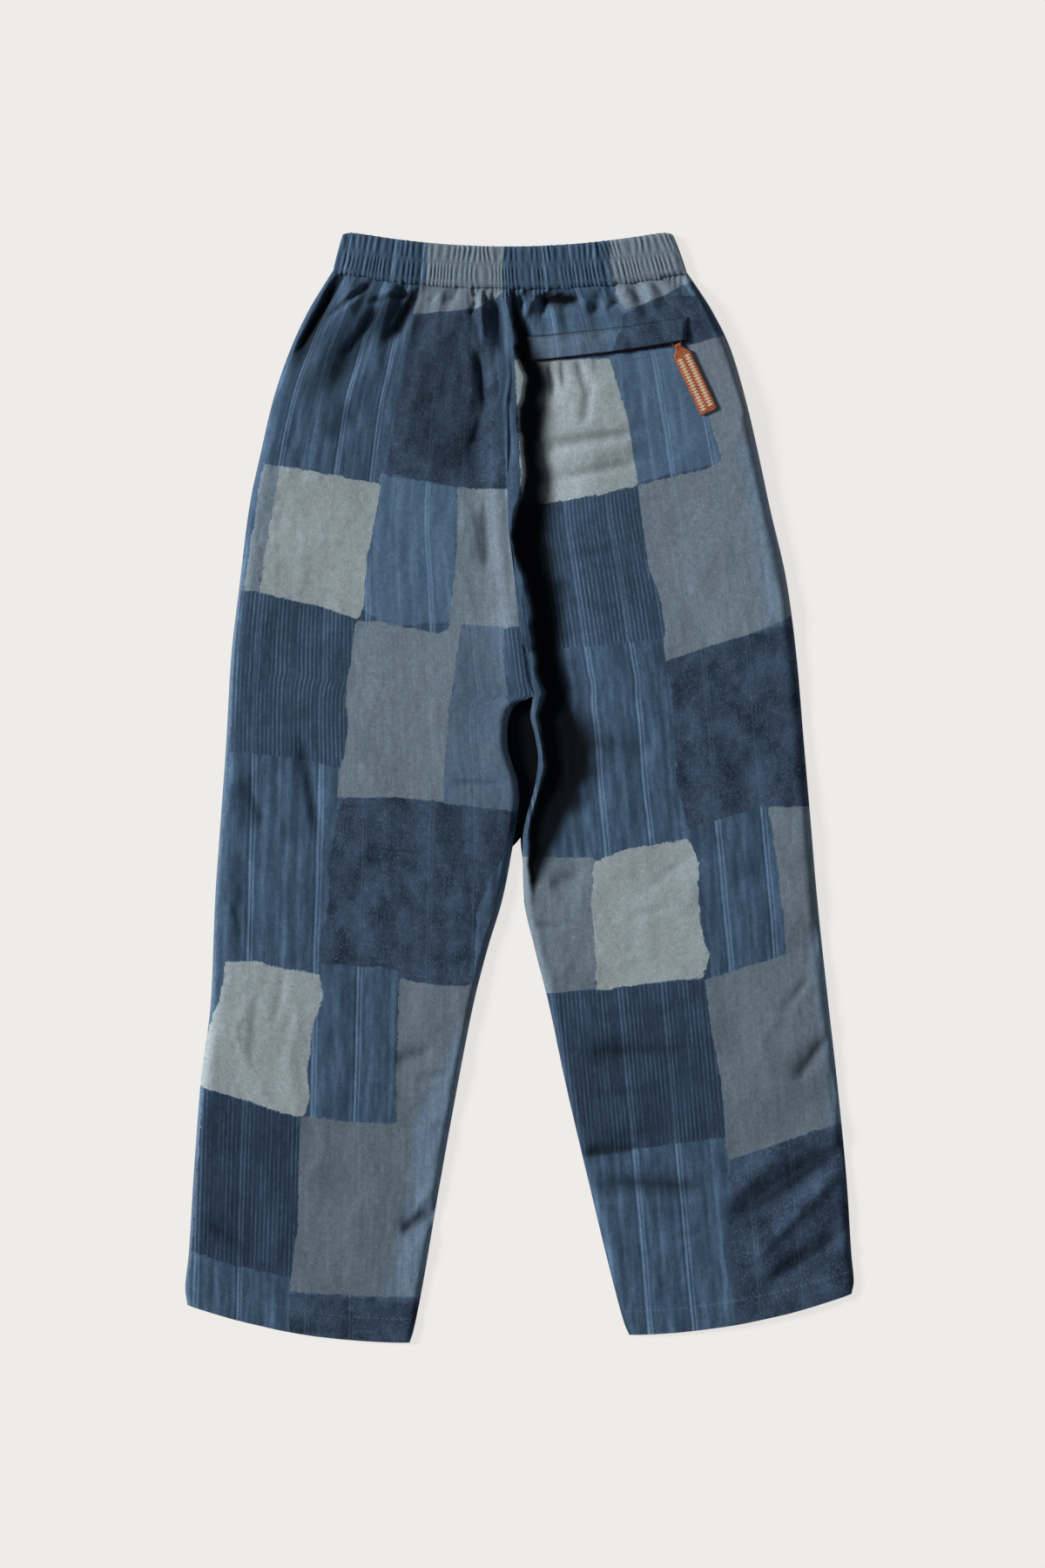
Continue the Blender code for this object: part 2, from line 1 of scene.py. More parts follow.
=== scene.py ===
"""Looks of the patchwork trousers: cloth shells, patches, stitches, leather pull, floor, lights.

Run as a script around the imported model. It is laid out as an add-on, and each piece has an
operator. Tables in this file are in millimetres, in the model's own frame: +Y runs to the waist,
+X to the wearer's right, +Z up out of the garment's back.
"""

import json
import math

import bmesh
import bpy
import numpy as np
from bpy.props import FloatProperty, FloatVectorProperty, IntProperty, PointerProperty
from mathutils import Matrix, Vector


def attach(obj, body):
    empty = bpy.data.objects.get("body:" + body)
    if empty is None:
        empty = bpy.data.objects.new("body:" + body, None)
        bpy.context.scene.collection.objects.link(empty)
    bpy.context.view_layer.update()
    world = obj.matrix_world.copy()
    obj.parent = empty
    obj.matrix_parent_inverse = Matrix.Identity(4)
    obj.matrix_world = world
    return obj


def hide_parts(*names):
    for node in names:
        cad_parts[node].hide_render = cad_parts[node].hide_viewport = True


bl_info = {
    "name": "Patchwork Trousers",
    "version": (1, 0, 0),
    "blender": (4, 5, 0),
    "location": "3D View > Sidebar > Trousers",
    "description": "Builds the cloth, seams and pull of patchwork trousers laid flat",
    "category": "Object",
}

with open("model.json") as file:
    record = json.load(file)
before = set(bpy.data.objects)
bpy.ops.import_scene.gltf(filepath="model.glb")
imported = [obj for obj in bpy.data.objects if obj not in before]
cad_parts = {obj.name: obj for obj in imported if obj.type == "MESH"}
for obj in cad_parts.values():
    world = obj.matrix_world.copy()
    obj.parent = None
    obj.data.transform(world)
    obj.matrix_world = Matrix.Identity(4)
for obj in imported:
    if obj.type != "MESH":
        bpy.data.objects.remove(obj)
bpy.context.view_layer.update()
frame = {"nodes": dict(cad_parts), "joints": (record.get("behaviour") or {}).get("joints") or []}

MM = 0.001
BODY = "garment"
PULL_BODY = "pull"

# Thickness of the cloth and of the casing, the gap between two sewn pieces, and the back's lowest face
CLOTH = 1.2
CASING = 3.0
SEAM_GAP = 0.3
REST = CLOTH + SEAM_GAP + CLOTH

# Edges of the panels as (x, y), from the waist to the hem
SIDE_LEFT = [
    (-168, 466), (-175, 455), (-189, 432), (-206, 396), (-222, 349), (-233, 302),
    (-243, 255), (-252, 184), (-260, 114), (-264, 43), (-269, -27), (-274, -98),
    (-278, -192), (-287, -263), (-294, -357), (-298, -420), (-301, -450), (-299, -465),
]
SIDE_RIGHT = [
    (151, 464), (160, 451), (174, 429), (190, 396), (204, 349), (215, 302),
    (225, 255), (241, 184), (250, 114), (256, 43), (262, -27), (268, -98),
    (278, -192), (286, -263), (295, -357), (299, -420), (301, -444), (299, -455),
]
SEAT_SEAM = [
    (-15, 451), (-10, 412), (-8, 373), (-11, 334), (-11, 287), (-10, 239),
    (-5, 192), (0, 145), (7, 98), (12, 83),
]
INSEAM_LEFT = [
    (12, 83), (-1, 77), (-8, 68), (-11, 55), (-11, 42), (-7, 23), (-2, 8), (0, -8),
    (-2, -26), (-6, -51), (-15, -98), (-29, -145), (-41, -192), (-55, -263),
    (-72, -357), (-88, -451), (-96, -490), (-99, -499),
]
INSEAM_RIGHT = [
    (12, 83), (10, 66), (14, 47), (17, 27), (15, 8), (11, -10), (6, -27), (3, -47),
    (3, -67), (4, -98), (14, -145), (26, -192), (41, -263), (63, -357),
    (86, -451), (95, -483), (99, -492),
]
FRONT_SEAM = [(-15, 451), (-11, 360), (-7, 240), (-3, 100), (1, -20), (1, -46)]

WAIST_LEFT = SIDE_LEFT[0][0]
WAIST_WIDTH = SIDE_RIGHT[0][0] - WAIST_LEFT
# From band to hem: along the cloth, and in plan along the back, its leaning warp and its side
CLOTH_LENGTH = 965.0
BACK_LENGTH = 940.0
LEAN_LENGTH = 930.0
SIDE_LENGTH = 945.0
# Width of a panel at the crotch, and at the waist, where it is gathered
LEG_WIDTH = 265.0
GATHERED_WIDTH = 170.0

# Share of the way down at which a panel's rows reach the crotch
CROTCH_V = 0.38
FRONT_CROTCH_V = 0.52
# How far a row bows towards the hem at its middle
WAIST_BOW = 3.7
HEM_BOW = 8.5
# The turned hem: its depth, and how far it stands proud
HEM_DEPTH = 20.0
HEM_STEP = 0.8
# Distance over which the back rises from its side seam and from its inseam
RIM_WIDTH = 13.0
INSEAM_RIM = 9.0
# Holds the rows' ends a little higher up the right side seam than an even share would
SIDE_ROW_POWER = 1.06
# The warp of each leg: its lean below the crotch, and how far the repeat is set aside in mm
LEFT_WARP = (-0.03, -3.0)
RIGHT_WARP = (0.09, 10.0)

# How high the back stands over its seams: share of the way down, height
LOFT = [
    (0.0, 4.2), (0.03, 9.5), (0.1, 11.0), (0.25, 10.0), (0.4, 8.0),
    (0.6, 6.5), (0.8, 5.5), (0.95, 4.0), (1.0, 2.6),
]

# Relief beside the seat seam and the inseam: distance from the edge, height
SEAT_RELIEF_LEFT = [(0, 6.0), (8, 5.5), (18, 2.0), (30, 0.0), (400, 0.0)]
SEAT_RELIEF_RIGHT = [
    (0, 6.0), (7, 6.2), (10, 3.0), (14, -6.0), (19, -7.5), (32, -7.0), (52, -3.0), (78, 0.0),
    (400, 0.0),
]
THIGH_RELIEF_RIGHT = [
    (0, 0.0), (5, 5.5), (9, 2.5), (14, -4.5), (24, -5.8), (46, -5.0), (68, -1.5), (88, 0.0),
    (400, 0.0),
]
# How strong these reliefs are: share of the way down, strength
SEAT_STRENGTH = [
    (0.0, 0.2), (0.03, 0.45), (0.06, 0.75), (0.1, 1.0), (0.36, 1.0), (0.40, 0.0), (1.0, 0.0),
]
THIGH_STRENGTH = [(0.0, 0.0), (0.36, 0.0), (0.40, 1.0), (0.47, 0.9), (0.62, 0.0), (1.0, 0.0)]

# How far the top of the ridge reaches past the seat seam: y, distance beyond its mean
RIDGE_SHIFT = [
    (460, -4.0), (397, -4.0), (369, 4.0), (334, 2.0), (287, 5.0), (263, 3.0), (244, -5.0),
    (223, -8.0), (204, -6.0), (185, 1.5), (157, 2.0), (122, 1.0), (86, 1.0), (60, -3.0), (-120, -5.0),
]

# How far the painted shadow in the valley right of the seat seam reaches from it: y, distance
PAINTED_SHADOW_REACH = [
    (460, 10), (425, 16), (400, 28), (356, 41), (312, 39), (266, 42), (221, 48), (170, 44), (132, 42),
    (86, 44), (64, 56), (30, 64), (-4, 58), (-38, 44), (-60, 30), (-82, 16), (-110, 0),
]

# Folds that the solids have too
FOLD_COLUMNS = ("start_x", "start_y", "end_x", "end_y", "half_width", "height")
FOLDS = [
    (-156, 466, -206, 372, 8, -6.2),
    (-142, 456, -186, 372, 8, 3.4),
    (-113, 442, -176, 350, 10, -5.2),
    (-91, 454, -122, 396, 8, -6.0),
    (-24, 446, -14, 385, 7, -3.2),
    (-37, 396, -30, 334, 5, -2.4),
    (-30, 330, -45, 296, 8, -1.6),
    (-34, 250, -27, 195, 8, -2.5),
    (-145, 340, -170, 312, 10, -2.5),
    (18, 437, 58, 442, 7, -6.0),
    (73, 453, 66, 424, 6, -3.0),
    (25, 295, 112, 310, 7, 1.8),
    (12, 352, 96, 362, 9, 1.4),
    (-246, 10, -228, -38, 10, -2.5),
    (-197, 51, -180, -46, 7, -1.8),
    (81, 43, 120, 31, 12, -2.0),
    (28, -89, 57, -75, 10, -2.0),
    (-113, -245, -79, -236, 9, -2.0),
    (-106, -399, -76, -381, 9, -3.0),
    (-281, -390, -230, -421, 11, -2.2),
    (60, -238, 156, -236, 10, -2.5),
    (55, -331, 113, -322, 9, -3.0),
    (66, -355, 178, -361, 10, -3.4),
    (75, -374, 165, -376, 8, 1.8),
    (188, -392, 291, -323, 13, -4.2),
    (219, -448, 294, -395, 10, -3.2),
    (208, -425, 289, -342, 9, 3.4),
    (174, -383, 243, -319, 9, 2.8),
    (248, -264, 279, -221, 10, -2.4),
]
# Sharper creases that only show close up
CREASES = [
    (-157, 468, -175, 440, 3.0, -4.2),
    (-166, 452, -203, 388, 3.2, -3.4),
    (-131, 457, -171, 424, 2.8, -4.6),
    (-98, 446, -136, 437, 3.4, -3.0),
    (-150, 446, -186, 396, 3.2, 1.4),
    (-124, 436, -160, 386, 4.2, -2.2),
    (-89, 455, -112, 404, 4.0, -4.4),
    (-100, 446, -118, 408, 3.2, 1.6),
    (-72, 452, -80, 436, 2.6, -2.4),
    (-66, 453, -54, 451, 2.0, -2.2),
    (-46, 458, -38, 441, 2.2, -4.2),
    (-32, 451, -30, 434, 2.2, -4.4),
    (-56, 452, -60, 438, 2.2, -3.0),
    (-38, 440, -44, 424, 2.2, -2.0),
    (-24, 446, -17, 392, 4.2, -2.4),
    (-36, 448, -32, 398, 3.0, 2.4),
    (-37, 392, -30, 338, 2.6, -1.8),
    (-33, 336, -43, 306, 3.6, -1.4),
    (-29, 408, -22, 350, 3.6, 1.6),
    (-47, 405, -42, 330, 4.2, 1.2),
    (-62, 400, -70, 340, 5.0, -0.9),
    (-82, 372, -96, 316, 6.0, -0.9),
    (62, -206, 150, -199, 6.0, -1.1),
    (58, -277, 135, -269, 6.0, -1.2),
    (66, -314, 150, -306, 5.0, -0.9),
    (92, -412, 128, -420, 5.0, -1.0),
    (-284, -330, -214, -322, 6.0, -0.8),
    (-276, -345, -222, -352, 5.0, -0.8),
    (-168, 88, -226, 96, 5.0, -0.9),
    (-176, 62, -250, 56, 5.0, -0.8),
    (30, 205, 96, 216, 6.0, -1.5),
    (26, 168, 100, 158, 6.0, -1.3),
    (-32, 262, -28, 198, 3.2, -1.4),
    (14, 458, -6, 428, 3.8, -6.0),
    (20, 452, 2, 420, 3.6, 3.0),
    (38, 458, 18, 436, 3.6, -4.6),
    (22, 441, 54, 440, 3.4, -3.6),
    (26, 447, 20, 424, 2.8, -1.8),
    (42, 445, 40, 428, 2.4, -1.2),
    (73, 452, 69, 428, 2.6, -1.6),
    (86, 456, 92, 446, 2.4, -1.6),
    (90, 440, 78, 428, 2.8, -1.4),
    (104, 452, 108, 436, 2.4, -1.3),
    (122, 455, 132, 440, 2.6, -1.0),
    (27, 383, 31, 352, 3.0, -2.0),
    (38, 385, 41, 358, 2.8, -1.9),
    (52, 386, 59, 356, 3.0, -2.4),
    (63, 366, 58, 326, 4.0, -2.2),
    (68, 388, 70, 372, 2.4, -0.8),
    (21, 309, 109, 320, 4.5, -2.6),
    (34, 280, 109, 293, 4.2, -2.2),
    (-197, 52, -180, -46, 4.0, -1.7),
    (-243, 2, -229, -34, 3.4, -1.1),
    (-256, -103, -250, -137, 3.4, -1.0),
    (-210, -162, -221, -214, 4.0, -0.8),
    (-236, -186, -242, -246, 4.0, -0.7),
    (-196, -196, -212, -262, 5.0, 0.6),
    (-113, -245, -79, -236, 3.6, -1.1),
    (-93, -262, -62, -256, 3.6, -1.1),
    (-106, -399, -78, -382, 3.4, -1.6),
    (-98, -389, -80, -360, 4.0, 0.9),
    (-276, -392, -236, -420, 3.4, -1.1),
    (-288, -357, -263, -369, 3.4, -0.8),
    (120, 118, 150, 112, 5.0, -0.8),
    (81, 42, 118, 32, 4.5, -0.8),
    (28, -88, 56, -76, 3.8, -1.0),
    (112, -92, 158, -58, 4.0, -0.8),
    (96, -118, 140, -104, 4.0, -0.7),
    (72, -238, 154, -236, 3.8, -1.3),
    (42, -252, 80, -262, 3.6, -1.2),
    (58, -329, 113, -323, 3.6, -1.6),
    (86, -355, 172, -360, 3.8, -1.8),
    (72, -374, 96, -383, 3.4, -1.2),
    (135, -407, 168, -397, 3.2, -1.0),
    (194, -388, 290, -325, 4.2, -2.0),
    (221, -447, 292, -397, 4.0, -2.0),
    (212, -423, 288, -342, 3.8, 1.0),
    (250, -437, 298, -408, 3.4, 0.9),
    (231, -206, 262, -169, 4.0, -1.2),
    (248, -264, 279, -221, 4.0, -1.4),
    (216, -232, 236, -196, 4.4, 0.8),
    (-61, 5, -14, 5, 2.8, -1.8),
    (14, -123, 41, -124, 2.8, -1.8),
]
# Soft areas painted darker, partly painted shade over folds and partly darker cloth: centre, reach each way,
# share
DYE_AND_SHADE_AREAS = [
    (-62, 345, 42, 76, 0.30),
    (-176, 384, 26, 62, 0.22),
    (-110, 425, 36, 26, 0.10),
    (40, 425, 52, 22, 0.25),
    (16, 14, 15, 84, 0.40),
]

# Even gathers below the waist: number, height and reach as a share of the way down
GATHER_FOLDS = 8
GATHER_HEIGHT = 1.8
GATHER_REACH = 0.03
# Number of gathers along the band's upper channel
BAND_RIDGES = 56
# Small gathers that leave the band: height at the band, and reach below it
PUCKER_HEIGHT = 0.8
PUCKER_REACH = 12.0
# Height of the back where the band is sewn over it, and how far below the seam it rises from there
BAND_EDGE = 4.0
BAND_EDGE_REACH = 7.0
# Broader folds that hang from the gathers: height at the band, and reach below it
PLEAT_HEIGHT = 3.6
PLEAT_REACH = 42.0

# Sums of noise: height, cell one way and the other, seed
SOFT_WAVES = [(1.2, 62.0, 34.0, 7), (0.5, 24.0, 46.0, 0), (0.2, 13.0, 30.0, 1)]
PLEAT_WAVES = [(1.0, 10.0, 70.0, 5), (0.35, 7.0, 34.0, 6)]
RIDGE_WAVES = [(1.6, 13.0, 1.0, 51), (0.8, 5.0, 1.0, 52)]
RUFFLE_WAVES = [(1.0, 3.7, 90.0, 61), (0.9, 11.0, 90.0, 62)]
# Cells each way in the lattices of random values
LATTICE = 257

# Width of the light selvedge along the left side seam, and where it runs in y
SIDE_STRIP = 2.6
STRIP_ENDS = (-468, 208)
# A distance to a patch from which it no longer counts
FAR = 60.0

# Fine grids of the back panels, as (start, end, cells) along a row and down the leg
LEFT_COLUMNS = [(0.0, 0.2, 32), (0.2, 0.86, 58), (0.86, 1.0, 22)]
RIGHT_COLUMNS = [(0.0, 0.24, 46), (0.24, 0.88, 50), (0.88, 1.0, 18)]
BACK_ROWS = [(0.0, 0.09, 80), (0.09, 0.979, 312), (0.979, 1.0, 12)]

# Waistband: its top edge, the height of its face and of its gathers, and its rounded ends
BAND_TOP_LEFT = (-159, 502.3)
BAND_TOP_RIGHT = (138, 502.3)
BAND_TOP_BOW = 14.5
BAND_FACE = 6.5
BAND_RIDGE_HEIGHT = 1.1
BAND_END = 12.0
# How thick the casing's back is at its two ends, and the least that it is anywhere
BAND_END_WALL = 1.2
BAND_MIN_WALL = 0.6
# Length and depth over which the band's cloth is mapped, one half of it, in mm
BAND_GRAIN = (460.0, 36.0)
# Share of the way down, share of the ridges' height: pinched at the two rows of stitches
BAND_PINCH = [
    (0.0, 0.55), (0.12, 0.9), (0.3, 0.8), (0.40, 0.45), (0.45, 0.15), (0.50, 0.45),
    (0.62, 0.8), (0.8, 0.8), (0.88, 0.5), (0.92, 0.2), (0.96, 0.6), (1.0, 0.9),
]
BAND_STITCH_ROWS = (0.45, 0.92)

# Pocket: a level area under the pull, then the welt
POCKET_FACE = 13.0
POCKET_CENTRE = (152, 374)
POCKET_REACH = (26.0, 50.0)
POCKET_FADE = 16.0
# The welt runs from this share of a row to this x, and down between these shares of the back
WELT_SPAN = (0.07, 150.0)
WELT_ROWS = (0.047, 0.07)
WELT_THICKNESS = 1.4
WELT_LIFT = [(0.0, 0.3), (0.33, 2.0), (0.66, 3.0), (1.0, 3.0)]
# Shares of the welt's length over which its two ends slope down to the cloth
WELT_END_SLOPES = (8.0 / 140.0, 4.0 / 150.0)

# Leather pull, in its own frame: X down the strap, Y up, Z across
PULL_ANGLE = 25.4
PULL_LENGTH = 65.5
PULL_WIDTH = 16.5
PULL_NECK = 6.0
PULL_SHOULDERS = (1.5, 9.5)
PULL_THICKNESS = 2.0
AXIS_LIFT = 2.1
STRAP_THICKNESS = 0.94
STRAP_CORNER = 1.6
STRAP_ROUNDING = 0.45
WIRE_RADIUS = 0.5
# Play between the wire and the leather, and between each of the strap's layers and the middle
WIRE_PLAY = 0.33
LAYER_PLAY = 0.03
# Distances from the wire: where the strap's layers part to go round it, and where its fine rows end
STRAP_FORK = (3.0, 12.0)
# Lozenges of the ornament: half their length and width, their overlap, and each row's place and start
LOZENGE = (1.5, 3.4)
LOZENGE_OVERLAP = 0.15
LOZENGE_ROWS = [(-3.65, 11.5), (3.65, 12.9)]

# Shape of a stitch along its length: thickness and rise, as shares of the thread's radius
BEAD = ((0.35, 0.0), (0.9, 0.75), (1.0, 1.0), (0.9, 0.75), (0.35, 0.0))
BEAD_SIDES = 6
# Number of teeth, the size of one, and how high its middle stands over the tape's seam
ZIP_TEETH = 92
TOOTH = (0.8, 2.2, 0.7)
TOOTH_LIFT = 0.85
# Angles from which an edge of the cloth and of the leather is drawn sharp
SHARP_CLOTH = math.radians(64)
SHARP_LEATHER = math.radians(60)

# The stage, in metres: half the floor's side, how far it lies below the garment, the view's centre
FLOOR_HALF = 6.0
FLOOR_DROP = 0.0004
VIEW_CENTRE = (0.0027, 0.0039)

# Patches of the left leg, as (kind, corners). A later patch lies over an earlier one.
LEFT_PATCHES = [
    ("bright", [(-125, 282), (-50, 268), (-60, 150), (-112, 146), (-140, 160)]),
    ("grey", [(-86, 475), (-8, 475), (-12, 448), (-26, 438), (-40, 430), (-95, 426)]),
    ("slub", [(-93, 425), (-26, 432), (-18, 357), (-11, 268), (-56, 271), (-120, 283)]),
    ("grey", [(-230, 292), (-214, 289), (-233, 176), (-248, 177)]),
    ("light", [(-215, 289), (-124, 273), (-131, 232), (-137, 208), (-139, 188), (-138, 168),
               (-145, 153), (-179, 161), (-181, 164), (-234, 176)]),
    ("stripe", [(-280, 180), (-234, 176), (-181, 164), (-145, 152), (-151, 124), (-155, 100),
                (-157, 78), (-154, 56), (-158, 32), (-162, 19), (-199, 27), (-280, 36)]),
    ("grey", [(-56, 271), (-9, 268), (1, 145), (-15, 144), (-63, 145), (-63, 158), (-57, 208)]),
    ("grey", [(-148, 150), (-125, 150), (-111, 146), (-73, 139), (-52, 148), (-57, 108),
              (-63, 68), (-68, 8), (-68, -13), (-103, -13), (-106, -8), (-164, -8),
              (-161, 16), (-158, 32), (-154, 56), (-157, 78), (-155, 100), (-151, 124)]),
    ("pale", [(-52, 147), (-15, 144), (-13, 82), (0, 59), (-3, -21), (-68, -13), (-68, 8),
              (-63, 68), (-57, 108)]),
    ("stripe", [(-14, 142), (7, 143), (14, 67), (-10, 75)]),
    ("slub", [(-161, -9), (-106, -9), (-67, -13), (0, -21), (-16, -63), (-30, -88),
              (-38, -111), (-42, -176), (-72, -177), (-108, -170), (-111, -162), (-178, -157),
              (-178, -128), (-172, -115), (-171, -70)]),
    ("pale", [(-17, -90), (-4, -80), (-28, -177), (-44, -177), (-32, -130)]),
    ("light", [(-264, -156), (-234, -155), (-226, -160), (-179, -167), (-177, -189),
               (-187, -218), (-191, -256), (-189, -276), (-194, -294), (-211, -294),
               (-232, -285), (-292, -266), (-277, -210), (-268, -184)]),
    ("grey", [(-108, -170), (-72, -177), (-44, -177), (-26, -178), (-48, -303), (-111, -303),
              (-110, -232)]),
    ("faded", [(-51, -213), (-30, -213), (-50, -302), (-90, -302), (-90, -294), (-70, -255)]),
    ("stripe", [(-310, -260), (-232, -286), (-199, -295), (-200, -389), (-204, -440),
                (-256, -429), (-310, -411)]),
    ("grey", [(-196, -295), (-139, -301), (-46, -303), (-60, -389), (-76, -458), (-154, -456),
              (-207, -452), (-200, -389)]),
    ("faded", [(-92, -302), (-48, -301), (-78, -458), (-122, -457), (-112, -427), (-98, -363)]),
    ("slub", [(-207, -454), (-154, -458), (-70, -458), (-80, -524), (-207, -524)]),
]
RIGHT_PATCHES = [
    ("bright", [(10, 440), (70, 440), (100, 430), (210, 400), (200, 296), (150, 285), (106, 275),
                (80, 380), (10, 390)]),
    ("grey", [(84, 480), (170, 480), (158, 458), (127, 442), (95, 429), (86, 447)]),
    ("slub", [(93, 426), (134, 444), (158, 441), (168, 420), (178, 400), (150, 397), (81, 389),
              (91, 412)]),
    ("light", [(-4, 384), (81, 386), (97, 334), (107, 273), (72, 264), (27, 257), (3, 255)]),
    ("grey", [(150, 397), (186, 408), (238, 318), (238, 287), (169, 287), (181, 294)]),
    ("grey", [(107, 272), (169, 287), (190, 294), (214, 302), (236, 232), (250, 158),
              (222, 144), (193, 132), (131, 114), (128, 148), (124, 178), (116, 196),
              (110, 236)]),
    ("faded", [(195, 306), (212, 310), (226, 239), (237, 149), (222, 144), (220, 161),
              (211, 232), (205, 271)]),
    ("stripe", [(3, 255), (27, 257), (72, 264), (106, 270), (110, 236), (116, 196),
                (124, 178), (130, 148), (131, 135), (83, 129), (40, 126), (3, 122)]),
    ("slub", [(131, 114), (186, 132), (222, 143), (262, 150), (277, -20), (219, -16),
              (152, -35), (142, 4), (137, 89)]),
    ("grey", [(0, -62), (67, -63), (65, -103), (68, -144), (69, -180), (14, -186)]),
    ("light", [(67, -67), (89, -57), (152, -45), (161, -68), (160, -97), (163, -123),
               (170, -149), (165, -170), (131, -173), (73, -181), (69, -180), (68, -144),
               (65, -103)]),
    ("grey", [(224, -16), (277, -16), (285, -133), (259, -135), (241, -149), (233, -75)]),
    ("grey", [(166, -173), (203, -161), (241, -149), (259, -135), (289, -131), (305, -298),
              (287, -301), (243, -316), (189, -334), (186, -323), (181, -263), (173, -224)]),
    ("faded", [(262, -133), (297, -130), (305, -298), (281, -302), (272, -216)]),
    ("stripe", [(10, -186), (69, -181), (131, -174), (166, -172), (173, -224), (181, -263),
                (185, -313), (123, -322), (61, -331), (40, -334)]),
    ("slub", [(189, -335), (243, -316), (287, -302), (320, -296), (325, -467), (197, -502),
              (190, -404)]),
]
WELT_PATCHES = [("pale", [(0, 440), (76, 440), (80, 385), (0, 370)])]
BAND_PATCHES = [
    ("grey", [(-84, 510), (-15, 510), (-15, 450), (-84, 450)]),
    ("grey", [(78, 520), (180, 520), (180, 450), (84, 450)]),
]
# A plainer layout for the front, which faces the floor
FRONT_PATCHES = [
    ("slub", [(-170, 470), (-90, 470), (-110, 300), (-236, 290)]),
    ("light", [(-112, 300), (-20, 296), (-20, 150), (-130, 156)]),
    ("stripe", [(-262, 160), (-132, 156), (-150, -20), (-280, -10)]),
    ("grey", [(-128, 150), (10, 146), (10, -60), (-146, -24)]),
    ("grey", [(-290, -14), (-176, -24), (-190, -190), (-290, -190)]),
    ("slub", [(-174, -60), (-10, -60), (-40, -230), (-186, -230)]),
    ("light", [(-196, -236), (-70, -236), (-90, -390), (-204, -390)]),
    ("stripe", [(-310, -300), (-206, -296), (-214, -440), (-310, -440)]),
    ("grey", [(20, 460), (150, 460), (176, 330), (10, 330)]),
    ("stripe", [(6, 328), (120, 326), (130, 170), (2, 170)]),
    ("light", [(132, 300), (216, 300), (240, 150), (134, 150)]),
    ("slub", [(2, 166), (130, 166), (140, -10), (2, -10)]),
    ("grey", [(144, 140), (260, 140), (270, -60), (150, -60)]),
    ("stripe", [(150, -66), (290, -66), (290, -220), (166, -220)]),
    ("light", [(30, -120), (146, -110), (156, -260), (40, -260)]),
    ("slub", [(160, -226), (300, -226), (300, -400), (180, -400)]),
    ("grey", [(40, -270), (160, -270), (176, -440), (70, -440)]),
]
# In the order in which they lie over each other. Faded is a soft streak that cuts no other patch.
KINDS = ("grey", "slub", "stripe", "pale", "light", "bright", "faded")


class ClothSettings(bpy.types.PropertyGroup):
    crease: FloatProperty(
        name="Crease Depth", description="Share of the small creases' full depth",
        default=1.0, min=0.0, max=2.0, subtype="FACTOR",
    )
    pucker: FloatProperty(
        name="Pucker Height", description="Height of the small gathers below the waistband",
        default=PUCKER_HEIGHT * MM, min=0.0, max=0.004, unit="LENGTH",
    )
    crumple: FloatProperty(
        name="Crumple", description="Height of the soft unevenness of the cloth",
        default=0.0012, min=0.0, max=0.003, unit="LENGTH",
    )
    fray: FloatProperty(
        name="Fray", description="How far the threads at a patch's edge wander",
        default=0.0016, min=0.0, max=0.005, unit="LENGTH",
    )
    stitch: FloatProperty(
        name="Stitch Length", description="Length of one stitch",
        default=0.0028, min=0.001, max=0.006, unit="LENGTH",
    )
    seed: IntProperty(name="Seed", description="Seed of the cloth's unevenness", default=11, min=0)


def colour(name, description, default):
    return FloatVectorProperty(
        name=name, description=description, default=default, subtype="COLOR", min=0.0, max=1.0,
    )


class ColourSettings(bpy.types.PropertyGroup):
    base: colour("Blue", "Mid-blue ground cloth", (0.041, 0.074, 0.124))
    slub: colour("Navy", "Dark slubbed cloth", (0.0228, 0.0368, 0.0626))
    stripe: colour("Striped Ground", "Dark ground of the pinstriped cloth", (0.018, 0.033, 0.059))
    line: colour(
        "Stripe", "Light thread of the pinstriped cloth and of the warp lines",
        (0.088, 0.152, 0.240),
    )
    grey: colour("Grey", "Mid-grey cloth", (0.120, 0.158, 0.196))
    pale: colour("Pale Blue", "Washed light-blue cloth", (0.091, 0.141, 0.216))
    light: colour("Light Grey", "Light grey-beige cloth", (0.258, 0.306, 0.332))
    leather: colour("Leather", "Rust-brown leather", (0.300, 0.070, 0.026))
    gilt: colour("Gilt", "Pale gilt of the pull's ornament", (0.880, 0.690, 0.470))
    metal: colour("Metal", "Aged brass of the slider and the teeth", (0.20, 0.17, 0.12))
    tarnish: colour("Tarnish", "Where the metal has darkened most", (0.06, 0.05, 0.045))
    floor: colour("Floor", "Pale floor", (0.12, 0.118, 0.115))
    glow: colour("Floor Light", "Colour of the light that the floor sheds", (1.0, 0.982, 0.945))
    key: colour("Key Light", "Warm white of the key light", (1.0, 0.985, 0.96))
    room: colour("Soft Light", "Cool white of the soft light from all round", (0.93, 0.96, 1.0))
    wall: colour("Background", "What the camera sees beyond the floor", (0.855, 0.84, 0.807))


